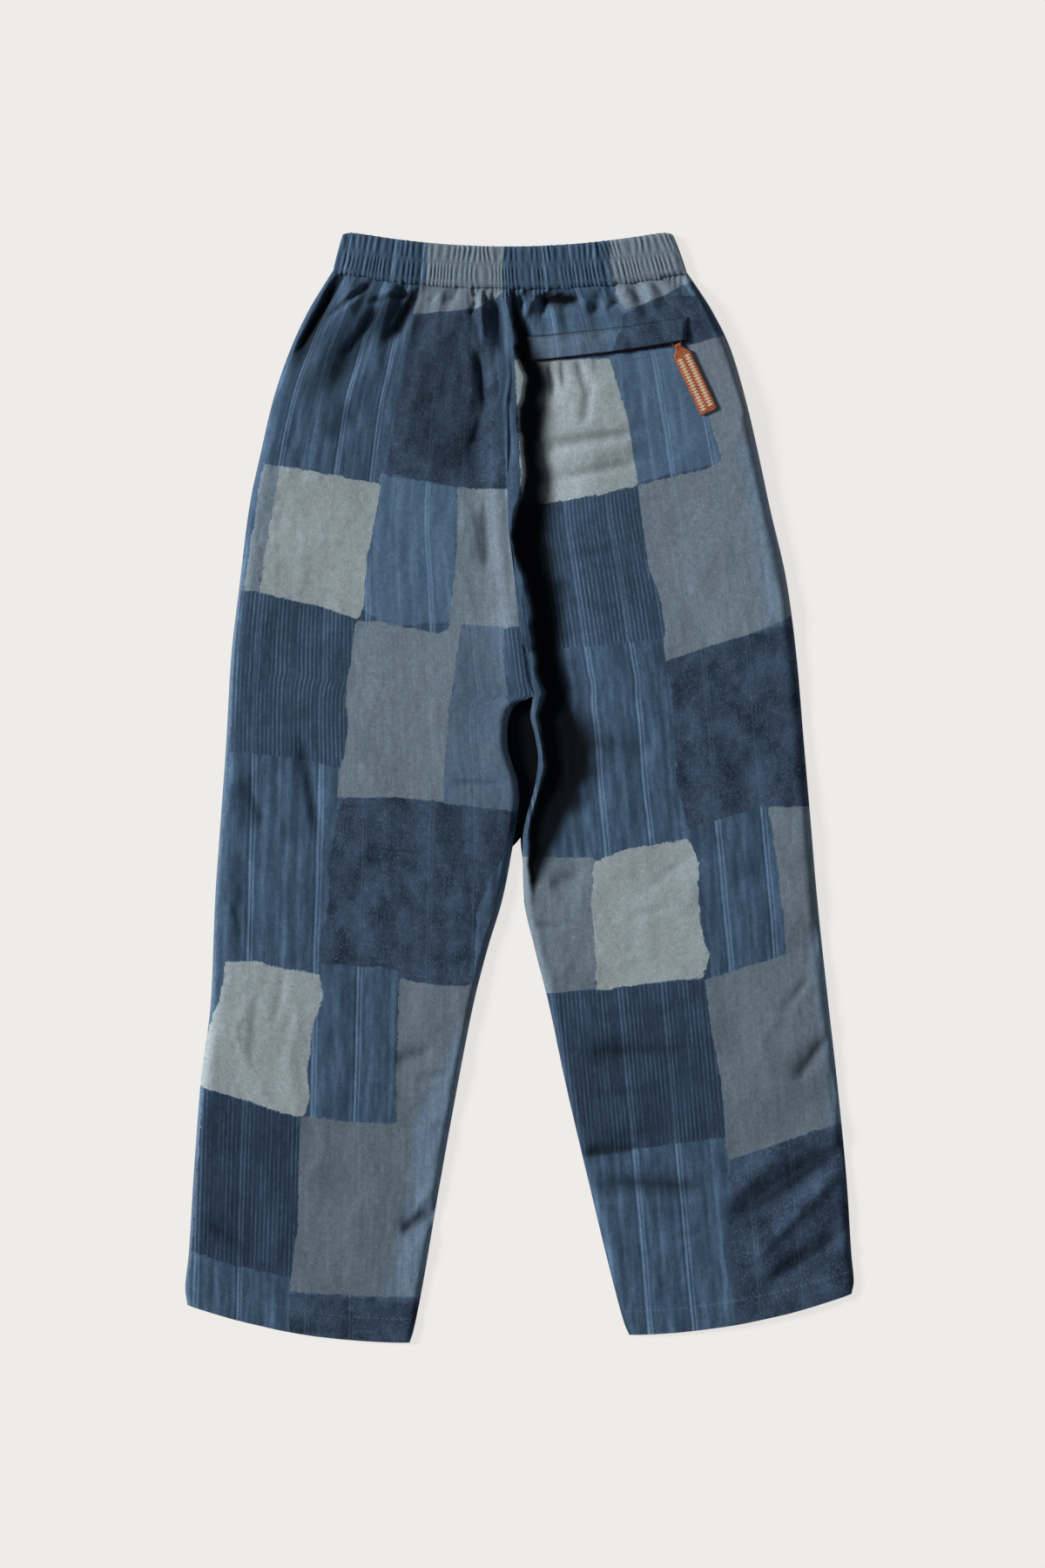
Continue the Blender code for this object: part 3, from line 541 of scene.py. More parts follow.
class StageSettings(bpy.types.PropertyGroup):
    camera_height: FloatProperty(
        name="Camera Height", description="Height of the camera over the floor",
        default=3.0, min=0.5, unit="LENGTH",
    )
    view_height: FloatProperty(
        name="View Height", description="Length of the floor that the picture shows",
        default=1.413, min=0.1, unit="LENGTH",
    )
    key: FloatProperty(name="Key", description="Strength of the key light", default=5.5, min=0.0)
    key_elevation: FloatProperty(
        name="Key Elevation", description="Angle of the key light over the floor",
        default=math.radians(25), subtype="ANGLE",
    )
    key_azimuth: FloatProperty(
        name="Key Azimuth", description="Direction the key light comes from, from +X towards +Y",
        default=math.radians(166), subtype="ANGLE",
    )
    key_size: FloatProperty(
        name="Key Size", description="Angle over which the key light spreads, which softens shadows",
        default=math.radians(13), subtype="ANGLE",
    )
    glow: FloatProperty(
        name="Floor Glow", description="Light that the floor sheds, which keeps shadows on it faint",
        default=0.74, min=0.0,
    )
    ambient: FloatProperty(name="Ambient", description="Strength of the soft light", default=0.22, min=0.0)


def eased(share):
    """A smooth step from 0 to 1."""
    share = np.clip(share, 0.0, 1.0)
    return share * share * (3.0 - 2.0 * share)


def rounded(share):
    """Rises steeply from 0 and levels out at 1, like the edge of a soft fold."""
    return 1.0 - (1.0 - np.clip(share, 0.0, 1.0)) ** 3


def through(points):
    """A smooth function through (argument, value) pairs that never overshoots them."""
    places, values = np.array(sorted(points), float).T
    steps = np.diff(places)
    slopes = np.diff(values) / steps
    before, after = slopes[:-1], slopes[1:]
    same_way = before * after > 0
    tangents = np.zeros(len(places))
    tangents[1:-1][same_way] = (2 * before * after)[same_way] / (before + after)[same_way]
    tangents[0], tangents[-1] = slopes[0], slopes[-1]

    def value(argument):
        argument = np.clip(np.asarray(argument, float), places[0], places[-1])
        span = np.clip(np.searchsorted(places, argument) - 1, 0, len(steps) - 1)
        width = steps[span]
        t = (argument - places[span]) / width
        start, end = values[span], values[span + 1]
        return (
            start * (1 + 2 * t) * (1 - t) ** 2
            + end * t * t * (3 - 2 * t)
            + tangents[span] * width * t * (1 - t) ** 2
            - tangents[span + 1] * width * t * t * (1 - t)
        )

    return value


def edge(points):
    """x of an outline at any y."""
    return through([(y, x) for x, y in points])


def grid_lines(spans):
    """Places from spans of (start, end, cells)."""
    parts = [np.linspace(start, end, cells + 1)[:-1] for start, end, cells in spans]
    return np.append(np.concatenate(parts), spans[-1][1])


def grid(across, down):
    return np.meshgrid(across, down, indexing="ij")


def points_of(x, y, z):
    """Points from their coordinates in mm, of which z may be one number for all."""
    return np.stack(np.broadcast_arrays(x, y, z), axis=-1)


def unevenness(x, y, cell_x, cell_y, seed):
    """Smooth noise from -1 to 1 with cells of the given sizes."""
    lattice = np.random.RandomState(seed).uniform(-1, 1, (LATTICE, LATTICE))
    gx, gy = np.asarray(x, float) / cell_x + 1000.0, np.asarray(y, float) / cell_y + 1000.0
    ix, iy = np.floor(gx).astype(int), np.floor(gy).astype(int)
    fx, fy = eased(gx - ix), eased(gy - iy)

    def corner(dx, dy):
        return lattice[(ix + dx) % LATTICE, (iy + dy) % LATTICE]

    low = corner(0, 0) * (1 - fx) + corner(1, 0) * fx
    high = corner(0, 1) * (1 - fx) + corner(1, 1) * fx
    return low * (1 - fy) + high * fy


def waves(x, y, table, seed=0):
    """Sum of the noises in a table."""
    return sum(height * unevenness(x, y, *cells, seed + more) for height, *cells, more in table)


class Panel:
    """One leg's panel: u runs from its inner edge to its side seam, v from the waist to the hem."""

    def __init__(self, inner, side, crotch_v, crotch_y, row_power=1.0):
        self.inner, self.side = edge(inner), edge(side)
        self.waist, self.crotch, self.hem = inner[0][1], crotch_y, inner[-1][1]
        self.side_waist, self.side_hem = side[0][1], side[-1][1]
        self.outwards = math.copysign(1.0, side[0][0])
        self.crotch_v, self.row_power = crotch_v, row_power

    def plan(self, u, v):
        """x and y of a point of the panel, and the width of its row."""
        above = self.waist + (self.crotch - self.waist) * v / self.crotch_v
        below = self.crotch + (self.hem - self.crotch) * (v - self.crotch_v) / (1 - self.crotch_v)
        y_in = np.where(v < self.crotch_v, above, below)
        y_out = self.side_waist + (self.side_hem - self.side_waist) * v**self.row_power
        x_in = self.inner(y_in) - self.outwards * 0.1
        x_out = self.side(y_out)
        bow = (WAIST_BOW + (HEM_BOW - WAIST_BOW) * v) * 4 * u * (1 - u)
        return x_in + (x_out - x_in) * u, y_in + (y_out - y_in) * u - bow, np.abs(x_out - x_in)

    def grain(self, u, v):
        """Place along the weft and down the warp, in mm. Above the crotch the cloth is gathered in."""
        x, _, full = self.plan(np.float64(0.5), np.float64(self.crotch_v))
        lean, shift = LEFT_WARP if self.outwards < 0 else RIGHT_WARP
        gathered = self.outwards * (u - 0.5) * float(full)
        straight = self.plan(u, v)[0] - float(x) - lean * (v - self.crotch_v) * LEAN_LENGTH
        share = eased((v - self.crotch_v) / 0.36 + 0.5)
        return gathered + (straight - gathered) * share + shift, v * CLOTH_LENGTH


def make_panels():
    crotch, front_crotch = SEAT_SEAM[-1][1], FRONT_SEAM[-1][1]
    return {
        "back_left": Panel(SEAT_SEAM + INSEAM_LEFT[1:], SIDE_LEFT, CROTCH_V, crotch),
        "back_right": Panel(SEAT_SEAM + INSEAM_RIGHT[1:], SIDE_RIGHT, CROTCH_V, crotch, SIDE_ROW_POWER),
        "front_left": Panel(FRONT_SEAM + INSEAM_LEFT[9:], SIDE_LEFT, FRONT_CROTCH_V, front_crotch),
        "front_right": Panel(FRONT_SEAM + INSEAM_RIGHT[8:], SIDE_RIGHT, FRONT_CROTCH_V, front_crotch),
    }


PANELS = make_panels()


def relief_of(table, x, y):
    """Sum of the folds in a table: each is a soft trough or ridge that fades at its two ends."""
    total = np.zeros_like(x)
    for row in table:
        fold = dict(zip(FOLD_COLUMNS, row))
        run = np.array([fold["end_x"] - fold["start_x"], fold["end_y"] - fold["start_y"]], float)
        length = np.hypot(*run)
        along = ((x - fold["start_x"]) * run[0] + (y - fold["start_y"]) * run[1]) / length
        across = ((x - fold["start_x"]) * run[1] - (y - fold["start_y"]) * run[0]) / length
        beyond = np.maximum(np.maximum(-along, along - length), 0.0) / fold["half_width"]
        fade = eased(np.minimum(along, length - along) / (0.35 * length) + 0.25)
        shape = np.exp(-((across / fold["half_width"]) ** 2) - beyond**2)
        total += fold["height"] * shape * fade
    return total


def pull_direction():
    turn = math.radians(PULL_ANGLE)
    return np.array([math.sin(turn), -math.cos(turn)])


def level_share(x, y):
    """1 over the level area around the pocket's pull, fading to 0 outside it."""
    along = pull_direction()
    dx, dy = x - POCKET_CENTRE[0], y - POCKET_CENTRE[1]
    lengthways = np.abs(dx * along[0] + dy * along[1])
    crossways = np.abs(dx * along[1] - dy * along[0])
    outside = np.maximum(crossways - POCKET_REACH[0], lengthways - POCKET_REACH[1])
    return 1.0 - eased(outside / POCKET_FADE)


def band_ridges(x, down, small=0.3):
    """The gathers of the casing's two channels, from about -1 to 1, uneven in width and height."""
    share = (x - WAIST_LEFT) / WAIST_WIDTH
    wander = 0.35 * np.sin(2 * math.pi * 5 * share) + 0.2 * np.sin(2 * math.pi * 11 * share + 1.0)
    lean = 0.55 * unevenness(x, down, 14.0, 0.7, 5)
    upper = np.cos(2 * math.pi * (BAND_RIDGES * share + wander + lean))
    lower = np.cos(2 * math.pi * (1.31 * BAND_RIDGES * share - 1.4 * wander + lean + 0.2))
    both = upper + (lower - upper) * eased((down - 0.36) / 0.16)
    size = 0.85 + 0.35 * unevenness(x, down, 6.0, 0.9, 7)
    return size * (both + small * unevenness(x, down, 2.2, 0.7, 8))


def ridge_shift(y):
    """How far the ridge at the seat seam reaches past its mean width, in mm."""
    return through(RIDGE_SHIFT)(y) + waves(y, 0 * y, RIDGE_WAVES)


def seed_of(panel, settings):
    """The right leg draws other values than the left."""
    return settings.seed + (100 if panel.outwards > 0 else 0)


def hanging_gathers(panel, u, v, settings):
    """Relief of the gathers that leave the band and merge into broader folds below it, in mm."""
    x, _, _ = panel.plan(u, v)
    below, seed = v * BACK_LENGTH, seed_of(panel, settings)
    puckers = np.exp(-below / PUCKER_REACH) * band_ridges(x, 0.95 + below / 60.0, 0.0)
    place = u * GATHERED_WIDTH + 0.05 * below
    pleats = waves(place, below, PLEAT_WAVES, seed)
    return settings.pucker / MM * puckers + PLEAT_HEIGHT * np.exp(-below / PLEAT_REACH) * pleats


def back_height(panel, u, v, settings):
    """Height of a back panel's outer face, fine creases included, in mm."""
    x, y, width = panel.plan(u, v)
    from_inner, from_side = u * width, (1 - u) * width
    on_inseam = eased((v - panel.crotch_v) / 0.015)
    side_rim = rounded(from_side / RIM_WIDTH)
    inner_rim = 1.0 - on_inseam * (1.0 - rounded(from_inner / INSEAM_RIM))
    seat, thigh = through(SEAT_STRENGTH)(v), through(THIGH_STRENGTH)(v)
    if panel.outwards < 0:
        relief = seat * through(SEAT_RELIEF_LEFT)(from_inner)
    else:
        shift = ridge_shift(y) * eased(from_inner / 6.0)
        relief = seat * through(SEAT_RELIEF_RIGHT)(np.maximum(from_inner - shift, 0.0))
        relief = relief + thigh * through(THIGH_RELIEF_RIGHT)(np.maximum(from_inner - shift, 0.0))
    gathers = GATHER_HEIGHT * np.exp(-v / GATHER_REACH) * np.cos(2 * math.pi * GATHER_FOLDS * u)
    lift = through(LOFT)(v) + relief + gathers + relief_of(FOLDS, x, y)

    gx, gy = panel.grain(u, v)
    seed = seed_of(panel, settings)
    soft = waves(gx, gy, SOFT_WAVES, seed)
    pinch = -np.abs(unevenness(x + 0.4 * y, y - 0.3 * x, 36.0, 52.0, seed + 2)) ** 0.7
    small = 0.2 * unevenness(x, y, 5.0, 9.0, seed + 3)
    crumple = settings.crumple / MM * (soft + 0.8 * pinch + small)
    fine = hanging_gathers(panel, u, v, settings) + crumple + settings.crease * relief_of(CREASES, x, y)
    level = level_share(x, y) * side_rim if panel.outwards > 0 else 0.0
    fine = fine * (1 - 0.92 * level)
    z = REST + side_rim * inner_rim * lift
    z = z * (1 - level) + POCKET_FACE * level + fine * eased(from_side / 6.0) * eased(from_inner / 2.0 + 0.3)
    joined = np.exp(-((v * BACK_LENGTH / BAND_EDGE_REACH) ** 2))
    under_band = REST + side_rim * (BAND_EDGE - REST + 0.5 * band_ridges(x, 0.95, 0.0))
    z = z + (under_band - z) * joined
    hem = HEM_STEP * eased(((v - 1.0) * (panel.side_waist - panel.side_hem) + HEM_DEPTH) / 2.0 + 0.5)
    return np.maximum(z, REST) + hem


def inside_distance(x, y, corners):
    """Signed distance to a polygon's outline in mm, negative inside."""
    ring = np.array(corners, float)
    nearest = np.full(x.shape, 1e9)
    inside = np.zeros(x.shape, bool)
    for (ax, ay), (bx, by) in zip(ring, np.roll(ring, -1, axis=0)):
        ex, ey = bx - ax, by - ay
        t = np.clip(((x - ax) * ex + (y - ay) * ey) / (ex * ex + ey * ey), 0, 1)
        nearest = np.minimum(nearest, (x - ax - t * ex) ** 2 + (y - ay - t * ey) ** 2)
        crosses = (ay > y) != (by > y)
        if by != ay:
            inside ^= crosses & (x < ax + (y - ay) * ex / ey)
    return np.sqrt(nearest) * np.where(inside, -1.0, 1.0)


def patch_fields(x, y, patches):
    """For each kind of patch, the signed distance to its nearest outline, in mm."""
    fields = {kind: np.full(x.shape, FAR) for kind in KINDS}
    for kind, corners in patches:
        distance = inside_distance(x, y, corners)
        for other in KINDS:
            if other == kind:
                fields[other] = np.minimum(fields[other], distance)
            elif kind != "faded":
                fields[other] = np.maximum(fields[other], -distance)
    return fields


def down_from(top, wall, floor_z):
    """The lower face of a wall: top moved down by the wall's vertical depth, never under floor_z."""
    along, across = np.gradient(top, axis=0), np.gradient(top, axis=1)
    normal = np.cross(along, across)
    upright = np.abs(normal[..., 2]) / np.linalg.norm(normal, axis=-1)
    bottom = top.copy()
    bottom[..., 2] = np.maximum(top[..., 2] - np.minimum(wall / upright, 2.2 * wall), floor_z)
    return bottom


def add_value(mesh, name, values):
    """Holds a value at the points of a shell's top, and again at its bottom."""
    both = np.tile(values.ravel(), 2).astype(np.float32)
    mesh.attributes.new(name, "FLOAT", "POINT").data.foreach_set("value", both)


def shell(name, top, bottom, grain, fields, painted_shade, stands_for):
    """A closed thin shell of patched cloth between two grids of points in mm.

    The grain becomes its UV map, and the patches and the painted shade become values at its points.
    """
    columns, rows = top.shape[0], top.shape[1]
    count = columns * rows
    index = np.arange(count).reshape(columns, rows)
    cells = np.stack([index[:-1, :-1], index[1:, :-1], index[1:, 1:], index[:-1, 1:]], axis=-1)
    cells = cells.reshape(-1, 4)
    ring = np.concatenate([index[:-1, 0], index[-1, :-1], index[:0:-1, -1], index[0, :0:-1]])
    after = np.roll(ring, -1)
    step_x, step_y = top[1, 0] - top[0, 0], top[0, 1] - top[0, 0]
    if np.cross(step_x, step_y)[2] < 0:
        cells = cells[:, ::-1]
        rim = np.stack([ring, after, after + count, ring + count], axis=-1)
    else:
        rim = np.stack([ring, ring + count, after + count, after], axis=-1)
    faces = np.concatenate([cells, cells[:, ::-1] + count, rim])
    points = np.concatenate([top.reshape(-1, 3), bottom.reshape(-1, 3)]) * MM

    mesh = bpy.data.meshes.new(name)
    mesh.vertices.add(len(points))
    mesh.vertices.foreach_set("co", points.ravel())
    mesh.loops.add(faces.size)
    mesh.loops.foreach_set("vertex_index", faces.ravel())
    mesh.polygons.add(len(faces))
    mesh.polygons.foreach_set("loop_start", np.arange(0, faces.size, 4))
    mesh.update(calc_edges=True)
    mesh.validate()
    mesh.shade_smooth()
    mesh.set_sharp_from_angle(angle=SHARP_CLOTH)
    # The UV's unit is 100 mm
    grain = np.stack(grain, axis=-1).reshape(-1, 2) * 0.01
    layer = mesh.uv_layers.new(name="cloth")
    layer.data.foreach_set("uv", np.concatenate([grain, grain])[faces.ravel()].ravel())
    for kind in KINDS:
        add_value(mesh, "patch_" + kind, fields[kind])
    # Share of painted shade at each point
    add_value(mesh, "painted_shade", painted_shade)
    mesh.materials.append(material_of("patched_cloth"))
    return add_piece(name, mesh, stands_for=stands_for)


# Shader groups and materials


def new_group(name, inputs, outputs):
    """A group with its input and output sockets. An input whose default is None is a vector."""
    group = bpy.data.node_groups.new(name, "ShaderNodeTree")
    for label, default in inputs.items():
        kind = "NodeSocketVector" if default is None else "NodeSocketFloat"
        socket = group.interface.new_socket(label, in_out="INPUT", socket_type=kind)
        if default is not None:
            socket.default_value = default
    for label in outputs:
        group.interface.new_socket(label, in_out="OUTPUT", socket_type="NodeSocketFloat")
    source, sink = group.nodes.new("NodeGroupInput"), group.nodes.new("NodeGroupOutput")
    return group, source.outputs, sink.inputs


def connect(tree, socket, value):
    """Feeds a socket from another one, or sets its value."""
    if isinstance(value, bpy.types.NodeSocket):
        tree.links.new(value, socket)
    else:
        socket.default_value = value


def node(tree, kind, links=None, **settings):
    """Adds a node, sets its properties, and its inputs by name or number from values or sockets."""
    made = tree.nodes.new(kind)
    for key, value in settings.items():
        setattr(made, key, value)
    for key, value in (links or {}).items():
        connect(tree, made.inputs[key], value)
    return made


def maths(tree, operation, first, second=0.0, third=None, clamp=False):
    links = {0: first, 1: second}
    if third is not None:
        links[2] = third
    return node(tree, "ShaderNodeMath", links, operation=operation, use_clamp=clamp).outputs[0]


def times(tree, first, second):
    return maths(tree, "MULTIPLY", first, second)


def scaled(tree, value, factor, offset, clamp=True):
    """A value times a factor plus an offset, kept from 0 to 1 unless clamp is off."""
    return maths(tree, "MULTIPLY_ADD", value, factor, offset, clamp=clamp)


def blended(tree, share, first, second, mode="MIX"):
    links = {0: share, 6: first, 7: second}
    return node(tree, "ShaderNodeMix", links, data_type="RGBA", blend_type=mode).outputs[2]


def layered(tree, colour, *layers):
    """Lays colours over a first one in turn, each by its share."""
    for share, over in layers:
        colour = blended(tree, share, colour, over)
    return colour


def shaded(tree, colour, level):
    """A colour times a grey level."""
    grey = node(tree, "ShaderNodeCombineColor", {0: level, 1: level, 2: level}).outputs[0]
    return blended(tree, 1.0, colour, grey, mode="MULTIPLY")


def stretched(tree, vector, scale, detail=2.0, roughness=0.5):
    """Noise from 0 to 1, with a scale of its own along each axis, in cells per 100 mm."""
    moved = node(tree, "ShaderNodeVectorMath", {0: vector, 1: scale}, operation="MULTIPLY").outputs[0]
    links = {"Vector": moved, "Scale": 1.0, "Detail": detail, "Roughness": roughness}
    return node(tree, "ShaderNodeTexNoise", links).outputs["Fac"]


def ramped(tree, value, stops):
    ramp = node(tree, "ShaderNodeValToRGB", {0: value})
    elements = ramp.color_ramp.elements
    while len(elements) < len(stops):
        elements.new(0.5)
    for element, (place, level) in zip(elements, stops):
        element.position = place
        element.color = (level, level, level, 1.0)
    return ramp.outputs["Color"]


def painted(tree, name):
    """A value that the mesh holds at its points."""
    return node(tree, "ShaderNodeAttribute", attribute_name=name, attribute_type="GEOMETRY").outputs["Fac"]


# Warp lines of the ground cloth over one repeat of 100 mm: place, brightness
WARP_REPEAT = [
    (0.00, 0.34), (0.05, 0.24), (0.09, 0.44), (0.12, 0.30), (0.16, 0.50), (0.20, 0.28),
    (0.25, 0.20), (0.29, 0.46), (0.33, 0.32), (0.37, 0.26), (0.41, 0.34), (0.428, 0.10),
    (0.44, 0.62), (0.455, 0.86), (0.466, 0.30), (0.48, 0.74), (0.50, 0.32), (0.54, 0.40),
    (0.60, 0.26), (0.64, 0.44), (0.70, 0.30), (0.76, 0.22), (0.80, 0.36), (0.822, 0.06),
    (0.835, 0.70), (0.845, 0.90), (0.855, 0.16), (0.87, 0.70), (0.89, 0.30), (0.95, 0.42),
    (1.00, 0.34),
]
# One pinstripe over its repeat: place, brightness
PINSTRIPE = [(0.0, 0.0), (0.30, 0.0), (0.46, 1.0), (0.58, 1.0), (0.74, 0.0), (1.0, 0.0)]
# What makes a patch's edge ragged: scale of the noise, its roughness, reach
RAGGED = [
    ((7.0, 7.0, 1.0), 0.5, 3.0),
    ((85.0, 16.0, 1.0), 0.7, 2.6),
    ((18.0, 42.0, 1.0), 0.6, 1.6),
]


def warp_lines_group():
    """The warp's light and dark lines, and its strong lines alone, fading in and out."""
    group, source, sink = new_group("warp_lines", {"Grain": None}, ("Lines", "Strong"))
    grain = source["Grain"]
    wobble = scaled(group, stretched(group, grain, (3.0, 0.6, 1.0)), 0.05, -0.025, clamp=False)
    across = node(group, "ShaderNodeSeparateXYZ", {0: grain}).outputs["X"]
    lines = ramped(group, maths(group, "FRACT", maths(group, "ADD", across, wobble)), WARP_REPEAT)
    fading = stretched(group, grain, (16.0, 2.2, 1.0), 4.0, 0.6)
    faded = scaled(group, fading, 0.9, maths(group, "SUBTRACT", lines, 0.45), clamp=False)
    connect(group, sink["Lines"], faded)
    connect(group, sink["Strong"], times(group, scaled(group, lines, 2.4, -0.95), fading))
    return group


def weave_group():
    """Height of the crossing threads, and the speckle that they give the colour."""
    group, source, sink = new_group("weave", {"Grain": None}, ("Height", "Speckle"))
    warp = stretched(group, source["Grain"], (130.0, 48.0, 1.0), 1.0)
    weft = stretched(group, source["Grain"], (48.0, 130.0, 1.0), 1.0)
    fleck = stretched(group, source["Grain"], (60.0, 42.0, 1.0), 3.0, 0.7)
    threads = times(group, maths(group, "ADD", warp, weft), 0.5)
    speckle = node(group, "ShaderNodeMix", {0: 0.5, 2: fleck, 3: threads}).outputs[0]
    connect(group, sink["Height"], scaled(group, warp, 0.6, weft, clamp=False))
    connect(group, sink["Speckle"], speckle)
    return group


def frayed_group():
    """A mask from a patch's signed distance, with wandering edges and loose threads."""
    inputs = {"Distance": 0.0, "Grain": None, "Fray": 1.6}
    group, source, sink = new_group("frayed_edge", inputs, ("Mask",))
    ragged = -0.5 * sum(reach for _, _, reach in RAGGED)
    for scale, roughness, reach in RAGGED:
        noise = stretched(group, source["Grain"], scale, 2.0, roughness)
        ragged = scaled(group, noise, reach, ragged, clamp=False)
    value = maths(group, "SUBTRACT", times(group, ragged, source["Fray"]), source["Distance"])
    connect(group, sink["Mask"], scaled(group, value, 1.6, 1.0))
    return group


def pinstripe_group():
    """Thin broken stripes that run down the warp."""
    group, source, sink = new_group("pinstripe", {"Grain": None, "Stripes": 26.0}, ("Lines",))
    grain = source["Grain"]
    across = node(group, "ShaderNodeSeparateXYZ", {0: grain}).outputs["X"]
    wobble = scaled(group, stretched(group, grain, (4.0, 1.2, 1.0)), 0.012, -0.006, clamp=False)
    place = times(group, maths(group, "ADD", across, wobble), source["Stripes"])
    line = ramped(group, maths(group, "FRACT", place), PINSTRIPE)
    strength = scaled(group, stretched(group, grain, (9.0, 1.2, 1.0), 4.0, 0.7), 4.2, -1.55)
    broken = scaled(group, stretched(group, grain, (60.0, 14.0, 1.0)), 1.5, 0.15)
    connect(group, sink["Lines"], times(group, line, times(group, strength, broken)))
    return group


def slub_group():
    """Light flecks of slubbed yarn, in clusters, and broad clouds of dye."""
    group, source, sink = new_group("slub", {"Grain": None}, ("Flecks", "Clouds"))
    grain = source["Grain"]
    flecks = scaled(group, stretched(group, grain, (80.0, 42.0, 1.0), 3.0, 0.75), 6.0, -3.1)
    cluster = scaled(group, stretched(group, grain, (14.0, 9.0, 1.0)), 2.4, -0.45)
    dashes = scaled(group, stretched(group, grain, (42.0, 13.0, 1.0), 3.0, 0.65), 3.5, -1.75)
    lit = maths(group, "MAXIMUM", times(group, flecks, cluster), times(group, dashes, 0.4))
    connect(group, sink["Flecks"], lit)
    connect(group, sink["Clouds"], stretched(group, grain, (4.0, 3.0, 1.0), 3.0, 0.6))
    return group


def mottle_group():
    """Unevenness of a thread, leather, metal or floor, by its own place."""
    inputs = {"Scale": 400.0, "Detail": 2.0, "Roughness": 0.5}
    group, source, sink = new_group("mottle", inputs, ("Share",))
    links = {label: source[label] for label in inputs}
    links["Vector"] = node(group, "ShaderNodeTexCoord").outputs["Object"]
    connect(group, sink["Share"], node(group, "ShaderNodeTexNoise", links).outputs["Fac"])
    return group


GROUP_MAKERS = {
    "warp_lines": warp_lines_group,
    "weave": weave_group,
    "frayed_edge": frayed_group,
    "pinstripe": pinstripe_group,
    "slub": slub_group,
    "mottle": mottle_group,
}
GROUPS = {}


def placed(tree, name, links):
    """Places a group, which is made at its first use, and gives its outputs."""
    if name not in GROUPS:
        GROUPS[name] = GROUP_MAKERS[name]()
    return node(tree, "ShaderNodeGroup", links, node_tree=GROUPS[name]).outputs


def mottled(tree, scale, detail, roughness=0.5):
    return placed(tree, "mottle", {"Scale": scale, "Detail": detail, "Roughness": roughness})["Share"]


def opaque(colour, shade=1.0):
    return (colour[0] * shade, colour[1] * shade, colour[2] * shade, 1.0)


def started(name):
    material = bpy.data.materials.new(name)
    material.use_nodes = True
    return material, material.node_tree, material.node_tree.nodes["Principled BSDF"]


def set_shader(tree, shader, inputs, bump=None):
    """Feeds a shader's inputs by name, and its normal from a bump of (height, strength, distance)."""
    for label, value in inputs.items():
        connect(tree, shader.inputs[label], value)
    if bump:
        links = dict(zip(("Height", "Strength", "Distance"), bump))
        connect(tree, shader.inputs["Normal"], node(tree, "ShaderNodeBump", links).outputs["Normal"])


